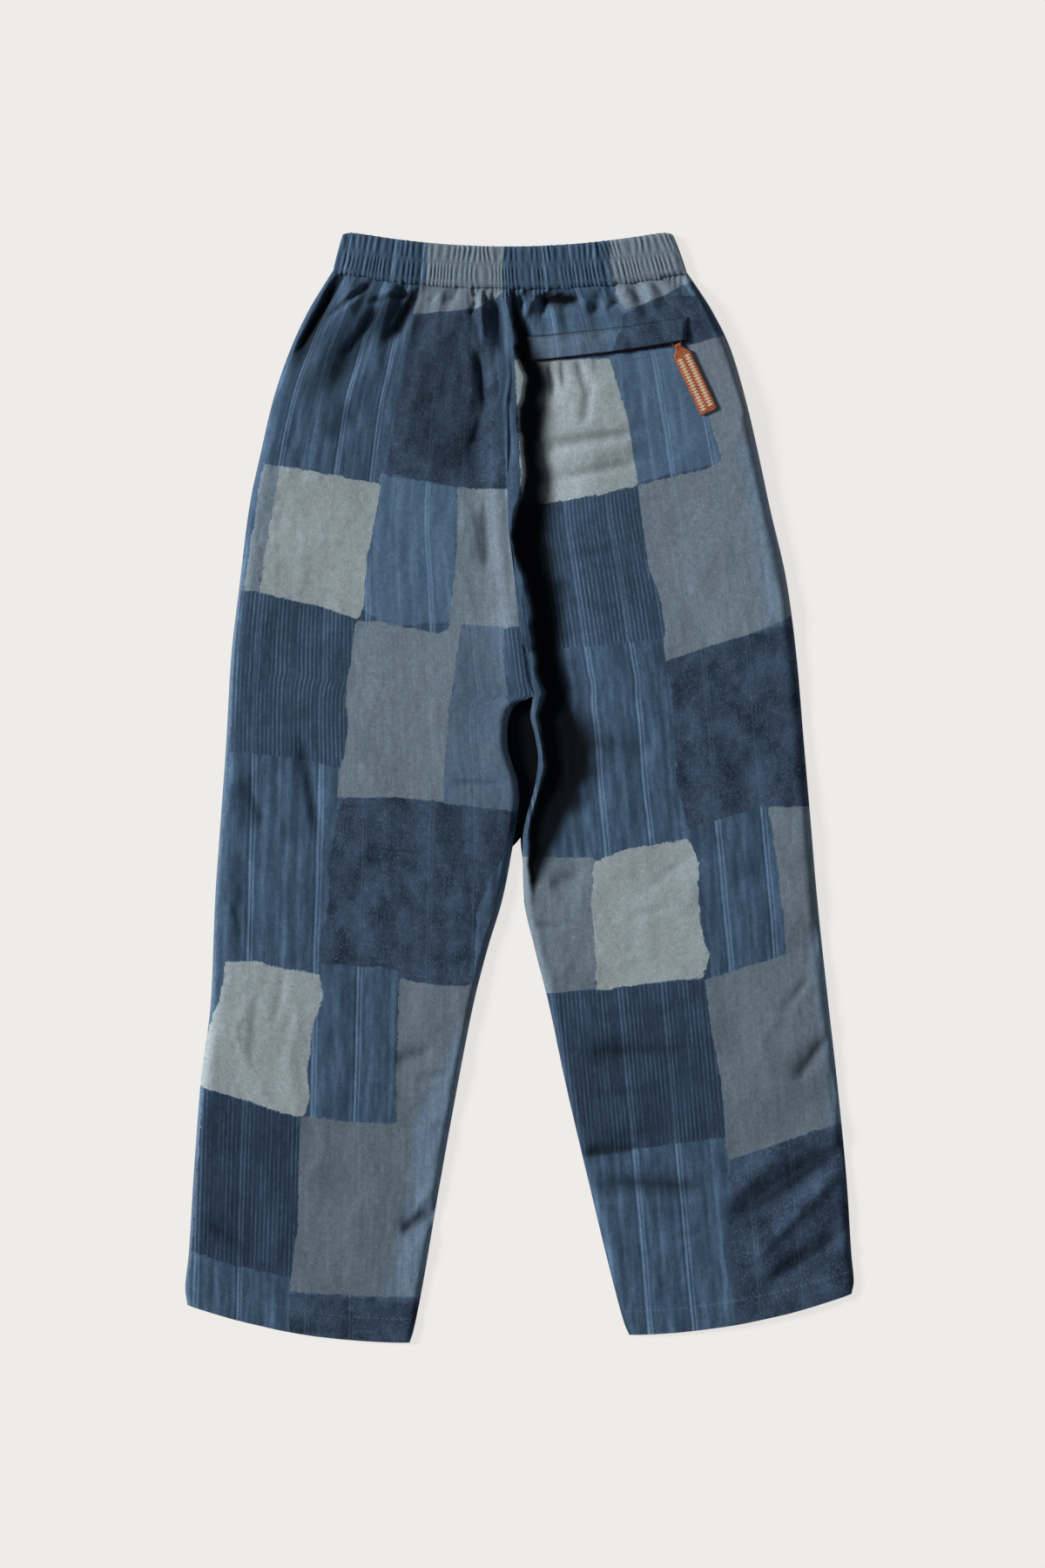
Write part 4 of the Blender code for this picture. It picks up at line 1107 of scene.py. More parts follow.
def patched_cloth(name, colours):
    """The patched denim: each kind of patch laid over the ground cloth, then weave, then painted shade in
    the hollows.
    """
    material, tree, shader = started(name)
    fray = bpy.context.scene.trousers_cloth.fray / MM
    grain = node(tree, "ShaderNodeUVMap", uv_map="cloth").outputs["UV"]
    warp = placed(tree, "warp_lines", {"Grain": grain})
    weave = placed(tree, "weave", {"Grain": grain})
    slub = placed(tree, "slub", {"Grain": grain})
    streaks = stretched(tree, grain, (34.0, 1.6, 1.0), 3.0, 0.6)
    broad = stretched(tree, grain, (10.0, 1.8, 1.0), 3.0, 0.55)
    clouds = stretched(tree, grain, (3.0, 2.2, 1.0), 3.0, 0.6)
    # 1 above the crotch, falling to 0 at the calf: the stripes and the grey are lighter up there
    down = node(tree, "ShaderNodeSeparateXYZ", {0: grain}).outputs["Y"]
    upper = scaled(tree, down, -0.26, 2.0)
    fallen = scaled(tree, warp["Lines"], -3.2, 1.0)
    raised = scaled(tree, warp["Lines"], 1.4, -0.42)
    stripes = placed(tree, "pinstripe", {"Grain": grain, "Stripes": 26.0})["Lines"]
    stripes = times(tree, stripes, scaled(tree, upper, 0.45, 0.45, clamp=False))

    ground = layered(
        tree, opaque(colours.base, 0.72),
        (streaks, opaque(colours.base, 1.28)),
        (scaled(tree, clouds, 1.8, -0.75), opaque(colours.base, 0.68)),
        (times(tree, fallen, 0.75), opaque(colours.base, 0.45)),
        (raised, opaque(colours.line, 1.4)),
    )
    grey = layered(
        tree, opaque(colours.grey, 0.70),
        (streaks, opaque(colours.grey, 1.38)),
        (scaled(tree, clouds, 1.4, -0.45), opaque(colours.grey, 0.80)),
        (times(tree, warp["Strong"], 0.5), opaque(colours.pale, 1.15)),
        (times(tree, slub["Flecks"], 0.3), opaque(colours.light)),
    )
    patches = {
        "grey": shaded(tree, grey, scaled(tree, upper, 0.3, 0.82, clamp=False)),
        "slub": layered(
            tree, opaque(colours.slub, 1.75),
            (scaled(tree, slub["Clouds"], 3.2, -1.1), opaque(colours.slub, 0.60)),
            (times(tree, slub["Flecks"], 0.62), opaque(colours.line, 1.25)),
            (times(tree, warp["Strong"], 0.45), opaque(colours.line, 0.9)),
        ),
        "stripe": layered(
            tree, opaque(colours.stripe, 1.25),
            (scaled(tree, clouds, 2.2, -0.8), opaque(colours.stripe, 0.7)),
            (times(tree, upper, 0.14), opaque(colours.line)),
            (stripes, opaque(colours.line, 1.05)),
            (times(tree, warp["Strong"], 0.7), opaque(colours.line, 1.1)),
        ),
        "pale": layered(
            tree, opaque(colours.pale, 0.50),
            (streaks, opaque(colours.pale, 1.20)),
            (scaled(tree, clouds, 2.0, -0.85), opaque(colours.grey, 0.8)),
            (times(tree, fallen, 0.6), opaque(colours.base)),
            (times(tree, warp["Strong"], 0.5), opaque(colours.line, 1.3)),
        ),
        "light": layered(
            tree, opaque(colours.light, 0.86),
            (broad, opaque(colours.light, 1.12)),
            (scaled(tree, clouds, 1.2, -0.35), opaque(colours.light, 0.88)),
        ),
        "bright": layered(
            tree, ground,
            (0.5, opaque(colours.line, 1.05)),
            (times(tree, raised, 0.5), opaque(colours.line, 1.6)),
        ),
        "faded": opaque(colours.pale, 1.7),
    }
    surface = ground
    for kind in KINDS:
        distance = painted(tree, "patch_" + kind)
        if kind == "faded":
            mask = times(tree, scaled(tree, distance, -0.07, 0.5), streaks)
        else:
            mask = placed(tree, "frayed_edge", {"Distance": distance, "Grain": grain, "Fray": fray})["Mask"]
        surface = blended(tree, mask, surface, patches[kind])

    mottle = stretched(tree, grain, (24.0, 18.0, 1.0), 5.0, 0.75)
    speckle = scaled(tree, weave["Speckle"], 1.4, 0.32, clamp=False)
    surface = shaded(tree, surface, times(tree, speckle, scaled(tree, mottle, 0.9, 0.55, clamp=False)))
    # Painted shade: the share held at the points blends the colour towards near-black where shadows fall
    painted_shade = times(tree, painted(tree, "painted_shade"), 0.985)
    surface = blended(tree, painted_shade, surface, (0.002, 0.0025, 0.004, 1.0))
    inputs = {
        "Base Color": surface,
        "Roughness": scaled(tree, weave["Speckle"], 0.16, 0.80, clamp=False),
        "Specular IOR Level": 0.04,
        "Sheen Weight": 0.02,
        "Sheen Roughness": 0.5,
    }
    set_shader(tree, shader, inputs, (weave["Height"], 0.34, 0.0004))
    return material


def thread_material(name, colour):
    material, tree, shader = started(name)
    twist = mottled(tree, 1400.0, 2.0)
    strands = shaded(tree, opaque(colour), scaled(tree, twist, 0.9, 0.55, clamp=False))
    inputs = {"Base Color": strands, "Roughness": 0.75, "Sheen Weight": 0.1}
    set_shader(tree, shader, inputs, (twist, 0.4, 0.0002))
    return material


def leather_material(name, colours):
    """Grained leather, mottled, with darker cut edges."""
    material, tree, shader = started(name)
    colour = colours.leather
    place = node(tree, "ShaderNodeTexCoord").outputs["Object"]
    pores = node(tree, "ShaderNodeTexVoronoi", {"Vector": place, "Scale": 1500.0}).outputs["Distance"]
    mottle = mottled(tree, 160.0, 4.0, 0.6)
    skin = layered(
        tree, opaque(colour, 0.62),
        (scaled(tree, mottle, 1.8, -0.4), (colour[0] * 1.35, colour[1] * 1.5, colour[2] * 1.4, 1.0)),
        (times(tree, painted(tree, "cut_edge"), 0.8), opaque(colour, 0.30)),
    )
    inputs = {
        "Base Color": skin,
        "Roughness": scaled(tree, mottle, 0.3, 0.36, clamp=False),
        "Specular IOR Level": 0.45,
    }
    height = scaled(tree, mottled(tree, 700.0, 3.0), 0.5, pores, clamp=False)
    set_shader(tree, shader, inputs, (height, 0.35, 0.0003))
    return material


def gilt_material(name, colours):
    """Pressed gilt foil, rubbed through to the leather in places."""
    material, tree, shader = started(name)
    worn = scaled(tree, mottled(tree, 900.0, 3.0, 0.7), 3.0, -1.5)
    inputs = {
        "Base Color": blended(tree, worn, opaque(colours.gilt), (0.22, 0.09, 0.035, 1.0)),
        "Metallic": scaled(tree, worn, -0.5, 0.55),
        "Roughness": scaled(tree, worn, 0.3, 0.38, clamp=False),
    }
    set_shader(tree, shader, inputs)
    return material


def metal_material(name, colours):
    """Darkened brass of the slider and the teeth."""
    material, tree, shader = started(name)
    tarnish = scaled(tree, mottled(tree, 420.0, 4.0), 2.0, -0.6)
    inputs = {
        "Base Color": blended(tree, tarnish, opaque(colours.metal), opaque(colours.tarnish)),
        "Metallic": 1.0,
        "Roughness": scaled(tree, tarnish, 0.25, 0.3, clamp=False),
    }
    set_shader(tree, shader, inputs)
    return material


THREADS = {
    "thread": (0.16, 0.20, 0.27),
    "dark_thread": (0.035, 0.055, 0.10),
    "blue_thread": (0.055, 0.085, 0.14),
    "russet_thread": (0.060, 0.020, 0.020),
    "zip_tape": (0.010, 0.013, 0.022),
}
MATERIAL_MAKERS = {
    "patched_cloth": patched_cloth,
    "leather": leather_material,
    "gilt": gilt_material,
    "aged_metal": metal_material,
}
MATERIALS = {}


def material_of(name):
    if name not in MATERIALS:
        if name in THREADS:
            MATERIALS[name] = thread_material(name, THREADS[name])
        else:
            MATERIALS[name] = MATERIAL_MAKERS[name](name, bpy.context.scene.trousers_colours)
    return MATERIALS[name]


# Pieces


def linked(name, data):
    made = bpy.data.objects.new(name, data)
    bpy.context.scene.collection.objects.link(made)
    return made


def add_piece(name, data, body=BODY, stands_for=None, place=None):
    """Puts a piece in the scene, attaches it to its body, and hides the solid that it replaces."""
    made = linked(name, data)
    if place is not None:
        made.matrix_world = place
    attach(made, body)
    if stands_for:
        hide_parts(stands_for)
    return made


def mesh_of(shape, name, material, smooth=True):
    bmesh.ops.recalc_face_normals(shape, faces=shape.faces[:])
    mesh = bpy.data.meshes.new(name)
    shape.to_mesh(mesh)
    shape.free()
    if smooth:
        mesh.shade_smooth()
    mesh.materials.append(material_of(material))
    return mesh


def painted_shade_of(panel, u, v, settings):
    """Share of painted shade in the folds and the valley right of the seat seam, with a few areas of darker
    cloth, 0 to 1.
    """
    x, y, width = panel.plan(u, v)
    # Painted shade in the hollows of the gathers and the folds
    gathers = np.clip(-hanging_gathers(panel, u, v, settings) / 4.0, 0, 1) * 0.55
    folds = np.clip(-relief_of(CREASES, x, y) / 3.0 - 0.12, 0, 1) * 0.45
    folds = folds + np.clip(-relief_of(FOLDS, x, y) / 6.0, 0, 1) * 0.6
    folds = np.maximum(folds, gathers)
    # Soft areas, partly painted shade and partly darker cloth
    for centre_x, centre_y, reach_x, reach_y, share in DYE_AND_SHADE_AREAS:
        apart = np.hypot((x - centre_x) / reach_x, (y - centre_y) / reach_y)
        folds = folds + share * (1 - eased((apart - 0.5) / 0.7))
    if panel.outwards < 0:
        return np.clip(folds, 0, 1)
    from_inner = u * width
    # The valley right of the seat seam is painted dark where the ridge casts its shadow
    start = 8.0 + ridge_shift(y)
    reach = through(PAINTED_SHADOW_REACH)(y) * (1 + 0.12 * unevenness(x, y, 18.0, 14.0, 41))
    near = eased((from_inner - start) / 3.5)
    far = 1 - eased((from_inner - 0.6 * reach) / (0.55 * reach + 1.0))
    valley_shade = near * far * eased((reach - 4.0) / 12.0)
    return np.clip(np.maximum(valley_shade, folds), 0, 1)


def back_shell(name, columns, patches, settings):
    panel = PANELS[name]
    u, v = grid(grid_lines(columns), grid_lines(BACK_ROWS))
    x, y, width = panel.plan(u, v)
    top = points_of(x, y, back_height(panel, u, v, settings))
    bottom = down_from(top, CLOTH, CLOTH + SEAM_GAP)
    fields = patch_fields(x, y, patches)
    painted_shade = painted_shade_of(panel, u, v, settings)
    if panel.outwards < 0:
        strip = np.where((y > STRIP_ENDS[0]) & (y < STRIP_ENDS[1]), (1 - u) * width - SIDE_STRIP, FAR)
        fields["pale"] = np.minimum(fields["pale"], strip)
    else:
        # Painted shadow on the cloth just under the welt's lip
        past_lip = (v - WELT_ROWS[1]) * BACK_LENGTH
        under_welt = (v > WELT_ROWS[0]) & (x < WELT_SPAN[1]) & (u > WELT_SPAN[0])
        painted_shade = np.maximum(painted_shade, 0.9 * (1 - eased((past_lip - 0.4) / 1.8)) * under_welt)
    return shell("cloth_" + name, top, bottom, panel.grain(u, v), fields, painted_shade, name)


def front_shell(name):
    panel = PANELS[name]
    u, v = grid(np.linspace(0, 1, 61), np.linspace(0, 1, 221))
    x, y, _ = panel.plan(u, v)
    inset = eased(np.minimum(np.minimum(u, 1 - u) * LEG_WIDTH, np.minimum(v, 1 - v) * CLOTH_LENGTH) / 5.0)
    bottom = points_of(x, y, 0.12 * inset * (1 + unevenness(x, y, 16.0, 30.0, 21)))
    top = points_of(x, y, CLOTH - 0.15 * inset * (1 + unevenness(x, y, 9.0, 17.0, 22)))
    fields = patch_fields(x, y, FRONT_PATCHES)
    # The front is painted dark between the inseams, as painted shade under the back
    gap = eased((30 - np.abs(x - 3.0)) / 12.0) * eased((y + 95) / 20) * eased((110 - y) / 12)
    return shell("cloth_" + name, top, bottom, panel.grain(u, v), fields, gap, name)


def waist_seam(x):
    centre_x, centre_y = SEAT_SEAM[0]
    end = np.where(x < centre_x, SIDE_LEFT[0][0], SIDE_RIGHT[0][0])
    end_y = np.where(x < centre_x, SIDE_LEFT[0][1], SIDE_RIGHT[0][1])
    u = (x - centre_x) / (end - centre_x)
    return centre_y + (end_y - centre_y) * u - WAIST_BOW * 4 * u * (1 - u)


def band_plan(share, down):
    """x and y of the waistband: share runs from its left end to its right, down from top to seam."""
    top_x = BAND_TOP_LEFT[0] + (BAND_TOP_RIGHT[0] - BAND_TOP_LEFT[0]) * share
    top_y = BAND_TOP_LEFT[1] - BAND_TOP_BOW * 4 * share * (1 - share)
    seam_x = WAIST_LEFT + WAIST_WIDTH * share
    seam_y = waist_seam(seam_x) - 0.6
    corner = 4.0 * (np.exp(-share * 60) + np.exp(-(1 - share) * 60)) * (1 - down) ** 3
    return top_x + (seam_x - top_x) * down, top_y + (seam_y - top_y) * down - corner


def band_height(share, down):
    """Height of the gathered casing's outer face, in mm."""
    from_end = np.minimum(share, 1 - share) * WAIST_WIDTH
    rounding = np.sqrt(np.clip(1 - (1 - np.clip(from_end / BAND_END, 0, 1)) ** 2, 0, 1))
    crown = 1.0 - 0.5 * (1 - eased(down / 0.12)) ** 2 - 0.8 * (1 - eased((1 - down) / 0.10)) ** 2
    inside = CASING + SEAM_GAP
    face = inside + BAND_END_WALL + (BAND_FACE - inside - BAND_END_WALL) * crown * rounding
    pinch = through(BAND_PINCH)(down)
    ridges = band_ridges(WAIST_LEFT + WAIST_WIDTH * share, down)
    ridges = BAND_RIDGE_HEIGHT * 0.5 * pinch * ridges * (0.3 + 0.7 * rounding)
    return np.maximum(face + ridges, inside + BAND_MIN_WALL)


def band_grain(share, down):
    return (share - 0.5) * BAND_GRAIN[0], down * BAND_GRAIN[1]


def band_back():
    share, down = grid(np.linspace(0, 1, 481), np.linspace(0, 1, 31))
    x, y = band_plan(share, down)
    y = y + np.where(down < 0.05, 0.5 * band_ridges(x, down), 0.0) - 0.5 * np.exp(-down * 30)
    ruffle = np.maximum(1.1 + waves(x, y, RUFFLE_WAVES), 0.0)
    y = y - ruffle * eased((down - 0.86) / 0.14)
    top = points_of(x, y, band_height(share, down))
    bottom = points_of(x, y, CASING + SEAM_GAP)
    fields = patch_fields(x, y, BAND_PATCHES)
    # Painted shade in the troughs between the band's gathers
    dark = np.clip(-band_ridges(x, down), 0, 1) * 0.06
    grain = band_grain(share, down)
    return shell("band_back", top, bottom, grain, fields, dark, "waistband_back")


def band_front():
    share, down = grid(np.linspace(0, 1, 385), np.linspace(0, 1, 21))
    x, y = band_plan(share, down)
    inset = eased(np.minimum(np.minimum(share, 1 - share) * 300, np.minimum(down, 1 - down) * 35) / 3.0)
    ridges = through(BAND_PINCH)(down) * band_ridges(-x, down)
    lower = points_of(x, y, inset * np.clip(0.55 + 0.55 * ridges, 0, 1.3))
    upper = points_of(x, y, CASING)
    fields = patch_fields(x, y, BAND_PATCHES)
    plain = np.zeros_like(x)
    grain = band_grain(share, down)
    return shell("band_front", upper, lower, grain, fields, plain, "waistband_front")


def on_panel(name, u, v, settings, lift=0.0):
    """Points on a back panel's outer face, raised by lift."""
    panel = PANELS[name]
    u, v = np.broadcast_arrays(np.asarray(u, float), np.asarray(v, float))
    x, y, _ = panel.plan(u, v)
    return points_of(x, y, back_height(panel, u, v, settings) + lift)


def welt_points(along, down):
    """u and v of the panel under the welt: along its length and from its seam down to its lip."""
    panel = PANELS["back_right"]
    v = WELT_ROWS[0] + (WELT_ROWS[1] - WELT_ROWS[0]) * down
    x_in, _, _ = panel.plan(np.zeros_like(v), v)
    x_out, _, _ = panel.plan(np.ones_like(v), v)
    last = (WELT_SPAN[1] - x_in) / (x_out - x_in)
    return WELT_SPAN[0] + (last - WELT_SPAN[0]) * along, v


def welt_lift(along, down):
    """Underside of the welt over the panel, in mm."""
    lift = through(WELT_LIFT)(down)
    ends = eased(along / WELT_END_SLOPES[0]) * eased((1 - along) / WELT_END_SLOPES[1])
    return SEAM_GAP + (lift - SEAM_GAP) * ends


def on_welt(along, down, settings):
    """Points on the welt's outer face, without its unevenness and its rounded lip."""
    along, down = np.broadcast_arrays(np.asarray(along, float), np.asarray(down, float))
    u, v = welt_points(along, down)
    seam = 0.7 * (1 - eased(down / 0.10))
    return on_panel("back_right", u, v, settings, welt_lift(along, down) + WELT_THICKNESS - seam)


def welt_shell(settings):
    panel = PANELS["back_right"]
    along, down = grid(np.linspace(0, 1, 151), np.linspace(0, 1, 29))
    u, v = welt_points(along, down)
    bottom = on_panel("back_right", u, v, settings, welt_lift(along, down))
    top = on_welt(along, down, settings)
    x, y = top[..., 0], top[..., 1]
    lip = 0.5 * (1 - np.sqrt(np.clip(1 - np.clip((down - 0.94) / 0.06, 0, 1) ** 2, 0, 1)))
    top[..., 2] += 0.25 * unevenness(x, y, 12.0, 9.0, 31) * eased(down / 0.2) - lip
    # Painted shade along the crease at the welt's seam, deepest at its left end
    crease = 0.85 * (1 - eased((down - 0.02) / 0.09)) * (1 - 0.6 * along)
    painted_shade = np.maximum(painted_shade_of(panel, u, v, settings), crease)
    fields = patch_fields(x, y, RIGHT_PATCHES + WELT_PATCHES)
    grain = panel.grain(u, v)
    return shell("pocket_welt_cloth", top, bottom, grain, fields, painted_shade, "pocket_welt")


def close_tube(shape, rings):
    """Joins rings of points into a closed tube."""
    count = len(rings[0])
    for first, second in zip(rings, rings[1:]):
        for k in range(count):
            shape.faces.new((first[k], first[(k + 1) % count], second[(k + 1) % count], second[k]))
    shape.faces.new(rings[0][::-1])
    shape.faces.new(rings[-1])


def stitched(name, lines, length, gap, radius, material, slot):
    """Rows of stitches: each line is points in mm on the cloth, and each stitch is a small arched bead."""
    shape = bmesh.new()
    for line in lines:
        steps = np.linalg.norm(np.diff(line, axis=0), axis=1)
        places = np.concatenate([[0], np.cumsum(steps)])
        start = 0.5 * gap
        while start + length < places[-1]:
            ts = np.linspace(start, start + length, len(BEAD))
            middle = np.stack([np.interp(ts, places, line[:, k]) for k in range(3)], axis=-1)
            run = middle[-1] - middle[0]
            run /= np.linalg.norm(run)
            aside = np.cross(run, [0, 0, 1.0])
            aside /= np.linalg.norm(aside)
            above = np.cross(aside, run)
            rings = []
            for point, (swell, lift) in zip(middle, BEAD):
                ring = []
                for turn in np.arange(BEAD_SIDES) * 2 * math.pi / BEAD_SIDES:
                    offset = swell * (math.cos(turn) * aside + math.sin(turn) * above) + lift * above
                    ring.append(shape.verts.new((point + radius * offset) * MM))
                rings.append(ring)
            close_tube(shape, rings)
            start += length + gap
    return add_piece(name, mesh_of(shape, name, material))


def piping(name, points, radius, material):
    """A thin cord sewn on through points in mm."""
    curve = bpy.data.curves.new(name, "CURVE")
    curve.dimensions = "3D"
    curve.bevel_depth = radius * MM
    curve.bevel_resolution = 2
    curve.use_fill_caps = True
    line = curve.splines.new("POLY")
    line.points.add(len(points) - 1)
    for point, place in zip(line.points, points):
        point.co = (*(place * MM), 1.0)
    curve.materials.append(material_of(material))
    return add_piece(name, curve)


def pull_place():
    """The pull's own frame: local X runs down the strap, local Y up, local Z across it."""
    joint = next(j for j in frame["joints"] if j["name"] == "pull_lift")
    drop = math.asin((AXIS_LIFT - 0.5 * PULL_THICKNESS - SEAM_GAP) / PULL_LENGTH)
    along = pull_direction()
    flat = Vector((along[0], along[1], 0.0))
    forward = (flat * math.cos(drop) - Vector((0, 0, 1)) * math.sin(drop)).normalized()
    across = flat.cross(Vector((0, 0, 1))).normalized()
    up = across.cross(forward).normalized()
    turn = Matrix((forward, up, across)).transposed()
    return Matrix.Translation(Vector(joint["pos_m"])) @ turn.to_4x4()


def strap_width(place):
    """Width of the leather at a distance from the wire, in mm."""
    shoulders = eased((place - PULL_SHOULDERS[0]) / (PULL_SHOULDERS[1] - PULL_SHOULDERS[0]))
    width = PULL_NECK + (PULL_WIDTH - PULL_NECK) * shoulders
    past = np.clip((place - PULL_LENGTH + STRAP_CORNER) / STRAP_CORNER, 0, 1)
    return width - 2 * STRAP_CORNER * (1 - np.sqrt(np.clip(1 - past**2, 0, 1)))


def strap_route():
    """The middle line of the folded leather, from the top layer's end, round the wire, and back."""
    layer = 0.5 * STRAP_THICKNESS + LAYER_PLAY
    turn_radius = WIRE_RADIUS + WIRE_PLAY + 0.5 * STRAP_THICKNESS
    fork, fine = STRAP_FORK
    end = np.linspace(PULL_LENGTH, PULL_LENGTH - 2, 7)[:-1]
    plain = np.linspace(PULL_LENGTH - 2, fine, 40)[:-1]
    straight = np.concatenate([end, plain, np.linspace(fine, fork, 12)])
    upper = [(x, layer) for x in straight]
    turns = np.radians(np.linspace(62, 298, 22))
    loop = [(turn_radius * math.cos(t), turn_radius * math.sin(t)) for t in turns]
    lower = [(x, -layer) for x in straight[::-1]]
    return np.array(upper + loop + lower)


def leather_strap():
    """The strap as a flat band swept along its route, rounded at its two cut edges."""
    route = strap_route()
    tangents = np.gradient(route, axis=0)
    tangents /= np.linalg.norm(tangents, axis=1)[:, None]
    shape = bmesh.new()
    cut = shape.verts.layers.float.new("cut_edge")
    half = 0.5 * STRAP_THICKNESS
    rings = []
    for (px, py), (tx, ty) in zip(route, tangents):
        width = 0.5 * float(strap_width(max(px, 0.0)))
        ring = []
        for face in (1, -1):
            for side in np.linspace(-1, 1, 17)[::face]:
                near = 1.0 - min(1.0, (1 - abs(side)) * width / STRAP_ROUNDING)
                thick = face * half * max(math.sqrt(1 - near**2), 0.12)
                place = np.array((px - ty * thick, py + tx * thick, side * width))
                vertex = shape.verts.new(place * MM)
                vertex[cut] = near
                ring.append(vertex)
        rings.append(ring)
    close_tube(shape, rings)
    mesh = mesh_of(shape, "pull_strap", "leather")
    mesh.set_sharp_from_angle(angle=SHARP_LEATHER)
    return add_piece("pull_strap", mesh, PULL_BODY, "leather_pull", pull_place())


def gilt_ornament():
    """Two rows of small lozenges pressed into the leather."""
    shape = bmesh.new()
    face = STRAP_THICKNESS + LAYER_PLAY
    half_length, half_width = LOZENGE
    for row, start in LOZENGE_ROWS:
        for place in np.arange(start, PULL_LENGTH - 4, 2 * half_length - LOZENGE_OVERLAP):
            corners = [(-half_length, 0), (0, -half_width), (half_length, 0), (0, half_width)]
            low, high = (
                [shape.verts.new(Vector((place + x * size, level, row + z * size)) * MM) for x, z in corners]
                for level, size in ((face - 0.05, 1.0), (face + 0.06, 0.86))
            )
            for k in range(4):
                shape.faces.new((low[k], low[(k + 1) % 4], high[(k + 1) % 4], high[k]))
            shape.faces.new(high)
            shape.faces.new(low[::-1])
    mesh = mesh_of(shape, "pull_ornament", "gilt", smooth=False)
    return add_piece("pull_ornament", mesh, PULL_BODY, place=pull_place())


def zip_teeth(settings):
    """Two meshing rows of teeth along the tape, under the welt's lip."""
    shape = bmesh.new()
    numbers = np.arange(ZIP_TEETH)
    u, v = welt_points(0.04 + 0.84 * numbers / ZIP_TEETH, 0.86 + 0.02 * np.where(numbers % 2, 1, -1))
    for place in on_panel("back_right", u, v, settings, SEAM_GAP + TOOTH_LIFT):
        for vertex in bmesh.ops.create_cube(shape, size=1.0)["verts"]:
            vertex.co = (Vector(place) + vertex.co * Vector(TOOTH)) * MM
    bmesh.ops.bevel(shape, geom=shape.edges[:], offset=0.15 * MM, segments=1, affect="EDGES")
    return add_piece("zip_teeth", mesh_of(shape, "zip_teeth", "aged_metal", smooth=False))


class TROUSERS_OT_back(bpy.types.Operator):
    """Build the two back panels as fine shells of gathered and creased cloth"""

    bl_idname = "trousers.back"
    bl_label = "Back Panels"

    def execute(self, context):
        settings = context.scene.trousers_cloth
        left = back_shell("back_left", LEFT_COLUMNS, LEFT_PATCHES, settings)
        right = back_shell("back_right", RIGHT_COLUMNS, RIGHT_PATCHES, settings)
        return {"FINISHED"}


class TROUSERS_OT_front(bpy.types.Operator):
    """Build the two front panels, which lie flat on the surface"""

    bl_idname = "trousers.front"
    bl_label = "Front Panels"

    def execute(self, context):
        for name in ("front_left", "front_right"):
            front_shell(name)
        return {"FINISHED"}


class TROUSERS_OT_waistband(bpy.types.Operator):
    """Build the gathered elastic casing, back and front, with its two rows of stitches"""

    bl_idname = "trousers.waistband"
    bl_label = "Waistband"

    def execute(self, context):
        back, front = band_back(), band_front()
        share = np.linspace(0.02, 0.98, 700)
        lines = []
        for row in BAND_STITCH_ROWS:
            down = np.full_like(share, row)
            lines.append(points_of(*band_plan(share, down), band_height(share, down) + 0.02))
        sewn = {"length": 1.6, "gap": 1.7, "radius": 0.13, "material": "blue_thread"}
        stitches = stitched("band_stitches", lines, slot="band_cloth", **sewn)
        return {"FINISHED"}


class TROUSERS_OT_pocket(bpy.types.Operator):
    """Build the pocket's welt, its stitches and piping, and the zip's teeth"""

    bl_idname = "trousers.pocket"
    bl_label = "Back Pocket"

    def execute(self, context):
        settings = context.scene.trousers_cloth
        welt = welt_shell(settings)
        down = np.linspace(0.12, 0.92, 40)
        lines = [
            on_welt(np.linspace(0.02, 0.985, 200), 0.12, settings),
            on_welt(0.985, down, settings),
            on_welt(0.965, down, settings),
        ]
        sewn = {"length": settings.stitch / MM, "gap": 1.2, "material": "dark_thread"}
        stitches = stitched("welt_stitches", lines, radius=0.17, slot="blue_cloth", **sewn)
        across = np.linspace(0.03, 0.97, 120)
        lip = on_welt(across, 1.0, settings)
        route = on_panel("back_right", *welt_points(across, 1.035), settings)
        route[:, 2] = 0.5 * (lip[:, 2] - WELT_THICKNESS + route[:, 2])
        piping("pocket_piping", route, radius=0.26, material="russet_thread")
        below = on_panel("back_right", *welt_points(np.linspace(0.60, 0.90, 80), 1.42), settings, 0.03)
        stitched("pocket_stitches", [below], radius=0.16, slot="blue_cloth", **sewn)
        zip_teeth(settings)
        frame["nodes"]["zip_tape"].material_slots[0].material = material_of("zip_tape")
        frame["nodes"]["zip_slider"].material_slots[0].material = material_of("aged_metal")
        return {"FINISHED"}


class TROUSERS_OT_hems(bpy.types.Operator):
    """Sew the hems"""

    bl_idname = "trousers.hems"
    bl_label = "Hem Stitches"

    def execute(self, context):
        settings = context.scene.trousers_cloth
        across = np.linspace(0.015, 0.985, 220)
        row = 1 - (HEM_DEPTH + 1.2) / SIDE_LENGTH
        hems = [on_panel(name, across, row, settings, 0.05) for name in ("back_left", "back_right")]
        sewn = {"length": settings.stitch / MM, "gap": 1.4, "radius": 0.2, "material": "thread"}
        stitched("hem_stitches", hems, slot="blue_cloth", **sewn)
        return {"FINISHED"}


class TROUSERS_OT_pull(bpy.types.Operator):
    """Build the folded leather pull and its gilt ornament"""

    bl_idname = "trousers.pull"
    bl_label = "Leather Pull"

    def execute(self, context):
        leather_strap()
        gilt_ornament()
        return {"FINISHED"}


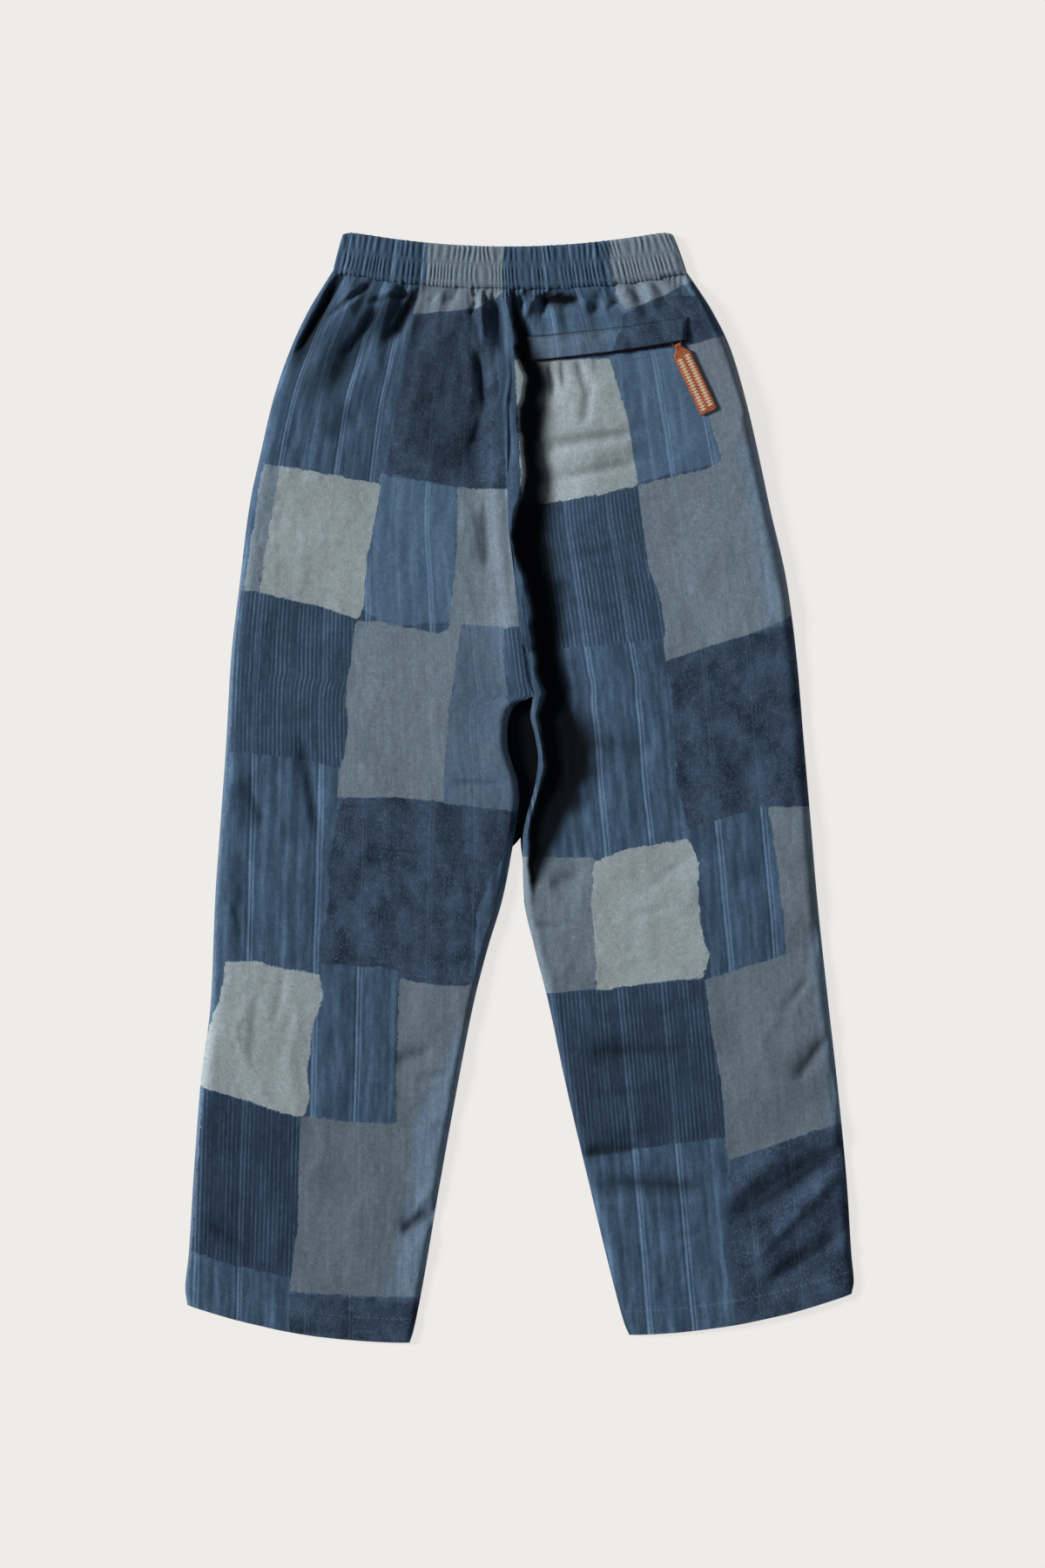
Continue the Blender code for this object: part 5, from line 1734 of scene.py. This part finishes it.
class TROUSERS_OT_stage(bpy.types.Operator):
    """Lay the pale floor and set the lights and the camera"""

    bl_idname = "trousers.stage"
    bl_label = "Stage"

    def execute(self, context):
        scene = context.scene
        stage, colours = scene.trousers_stage, scene.trousers_colours
        mesh = bpy.data.meshes.new("floor")
        corners = [(x * FLOOR_HALF, y * FLOOR_HALF, 0) for x, y in ((-1, -1), (1, -1), (1, 1), (-1, 1))]
        mesh.from_pydata(corners, [], [(0, 1, 2, 3)])
        material, tree, shader = started("floor")
        share = times(tree, mottled(tree, 3.0, 2.0), 0.1)
        inputs = {
            "Base Color": blended(tree, share, opaque(colours.floor), opaque(colours.floor, 0.97)),
            "Roughness": 0.9,
            "Specular IOR Level": 0.1,
            "Emission Color": opaque(colours.glow),
            "Emission Strength": stage.glow,
        }
        set_shader(tree, shader, inputs)
        mesh.materials.append(material)
        floor = linked("floor", mesh)
        floor.location.z = -FLOOR_DROP

        key = bpy.data.lights.new("key", "SUN")
        key.energy = stage.key
        key.angle = stage.key_size
        key.color = colours.key
        lamp = linked("key", key)
        flat = math.cos(stage.key_elevation)
        azimuth = stage.key_azimuth
        towards = Vector((flat * math.cos(azimuth), flat * math.sin(azimuth), math.sin(stage.key_elevation)))
        lamp.rotation_euler = towards.to_track_quat("Z", "Y").to_euler()

        world = bpy.data.worlds.new("soft_room")
        world.use_nodes = True
        tree = world.node_tree
        soft = tree.nodes["Background"]
        soft.inputs["Color"].default_value = opaque(colours.room)
        soft.inputs["Strength"].default_value = stage.ambient
        wall = node(tree, "ShaderNodeBackground", {"Color": opaque(colours.wall), "Strength": 1.0})
        seen = node(tree, "ShaderNodeLightPath").outputs["Is Camera Ray"]
        mixed = node(tree, "ShaderNodeMixShader", {0: seen, 1: soft.outputs[0], 2: wall.outputs[0]})
        tree.links.new(mixed.outputs[0], tree.nodes["World Output"].inputs["Surface"])
        scene.world = world
        scene.view_settings.view_transform = "Standard"

        lens = bpy.data.cameras.new("camera")
        lens.sensor_fit = "VERTICAL"
        lens.sensor_height = 36.0
        lens.lens = 36.0 * stage.camera_height / stage.view_height
        lens.clip_end = 50.0
        camera = linked("camera", lens)
        camera.location = (*VIEW_CENTRE, stage.camera_height)
        scene.camera = camera
        return {"FINISHED"}


class TROUSERS_PT_panel(bpy.types.Panel):
    bl_label = "Patchwork Trousers"
    bl_idname = "TROUSERS_PT_panel"
    bl_space_type = "VIEW_3D"
    bl_region_type = "UI"
    bl_category = "Trousers"

    def draw(self, context):
        layout, scene = self.layout, context.scene
        for operator in OPERATORS:
            layout.operator(operator.bl_idname)
        for settings in (scene.trousers_cloth, scene.trousers_colours, scene.trousers_stage):
            column = layout.column()
            for name in settings.__annotations__:
                column.prop(settings, name)


OPERATORS = (
    TROUSERS_OT_back,
    TROUSERS_OT_front,
    TROUSERS_OT_waistband,
    TROUSERS_OT_pocket,
    TROUSERS_OT_hems,
    TROUSERS_OT_pull,
    TROUSERS_OT_stage,
)
CLASSES = (ClothSettings, ColourSettings, StageSettings, *OPERATORS, TROUSERS_PT_panel)


def register():
    for each in CLASSES:
        bpy.utils.register_class(each)
    bpy.types.Scene.trousers_cloth = PointerProperty(type=ClothSettings)
    bpy.types.Scene.trousers_colours = PointerProperty(type=ColourSettings)
    bpy.types.Scene.trousers_stage = PointerProperty(type=StageSettings)


def unregister():
    del bpy.types.Scene.trousers_stage
    del bpy.types.Scene.trousers_colours
    del bpy.types.Scene.trousers_cloth
    for each in reversed(CLASSES):
        bpy.utils.unregister_class(each)


def main():
    register()
    bpy.ops.trousers.back()
    bpy.ops.trousers.front()
    bpy.ops.trousers.waistband()
    bpy.ops.trousers.pocket()
    bpy.ops.trousers.hems()
    bpy.ops.trousers.pull()
    bpy.ops.trousers.stage()


if __name__ == "__main__":
    main()
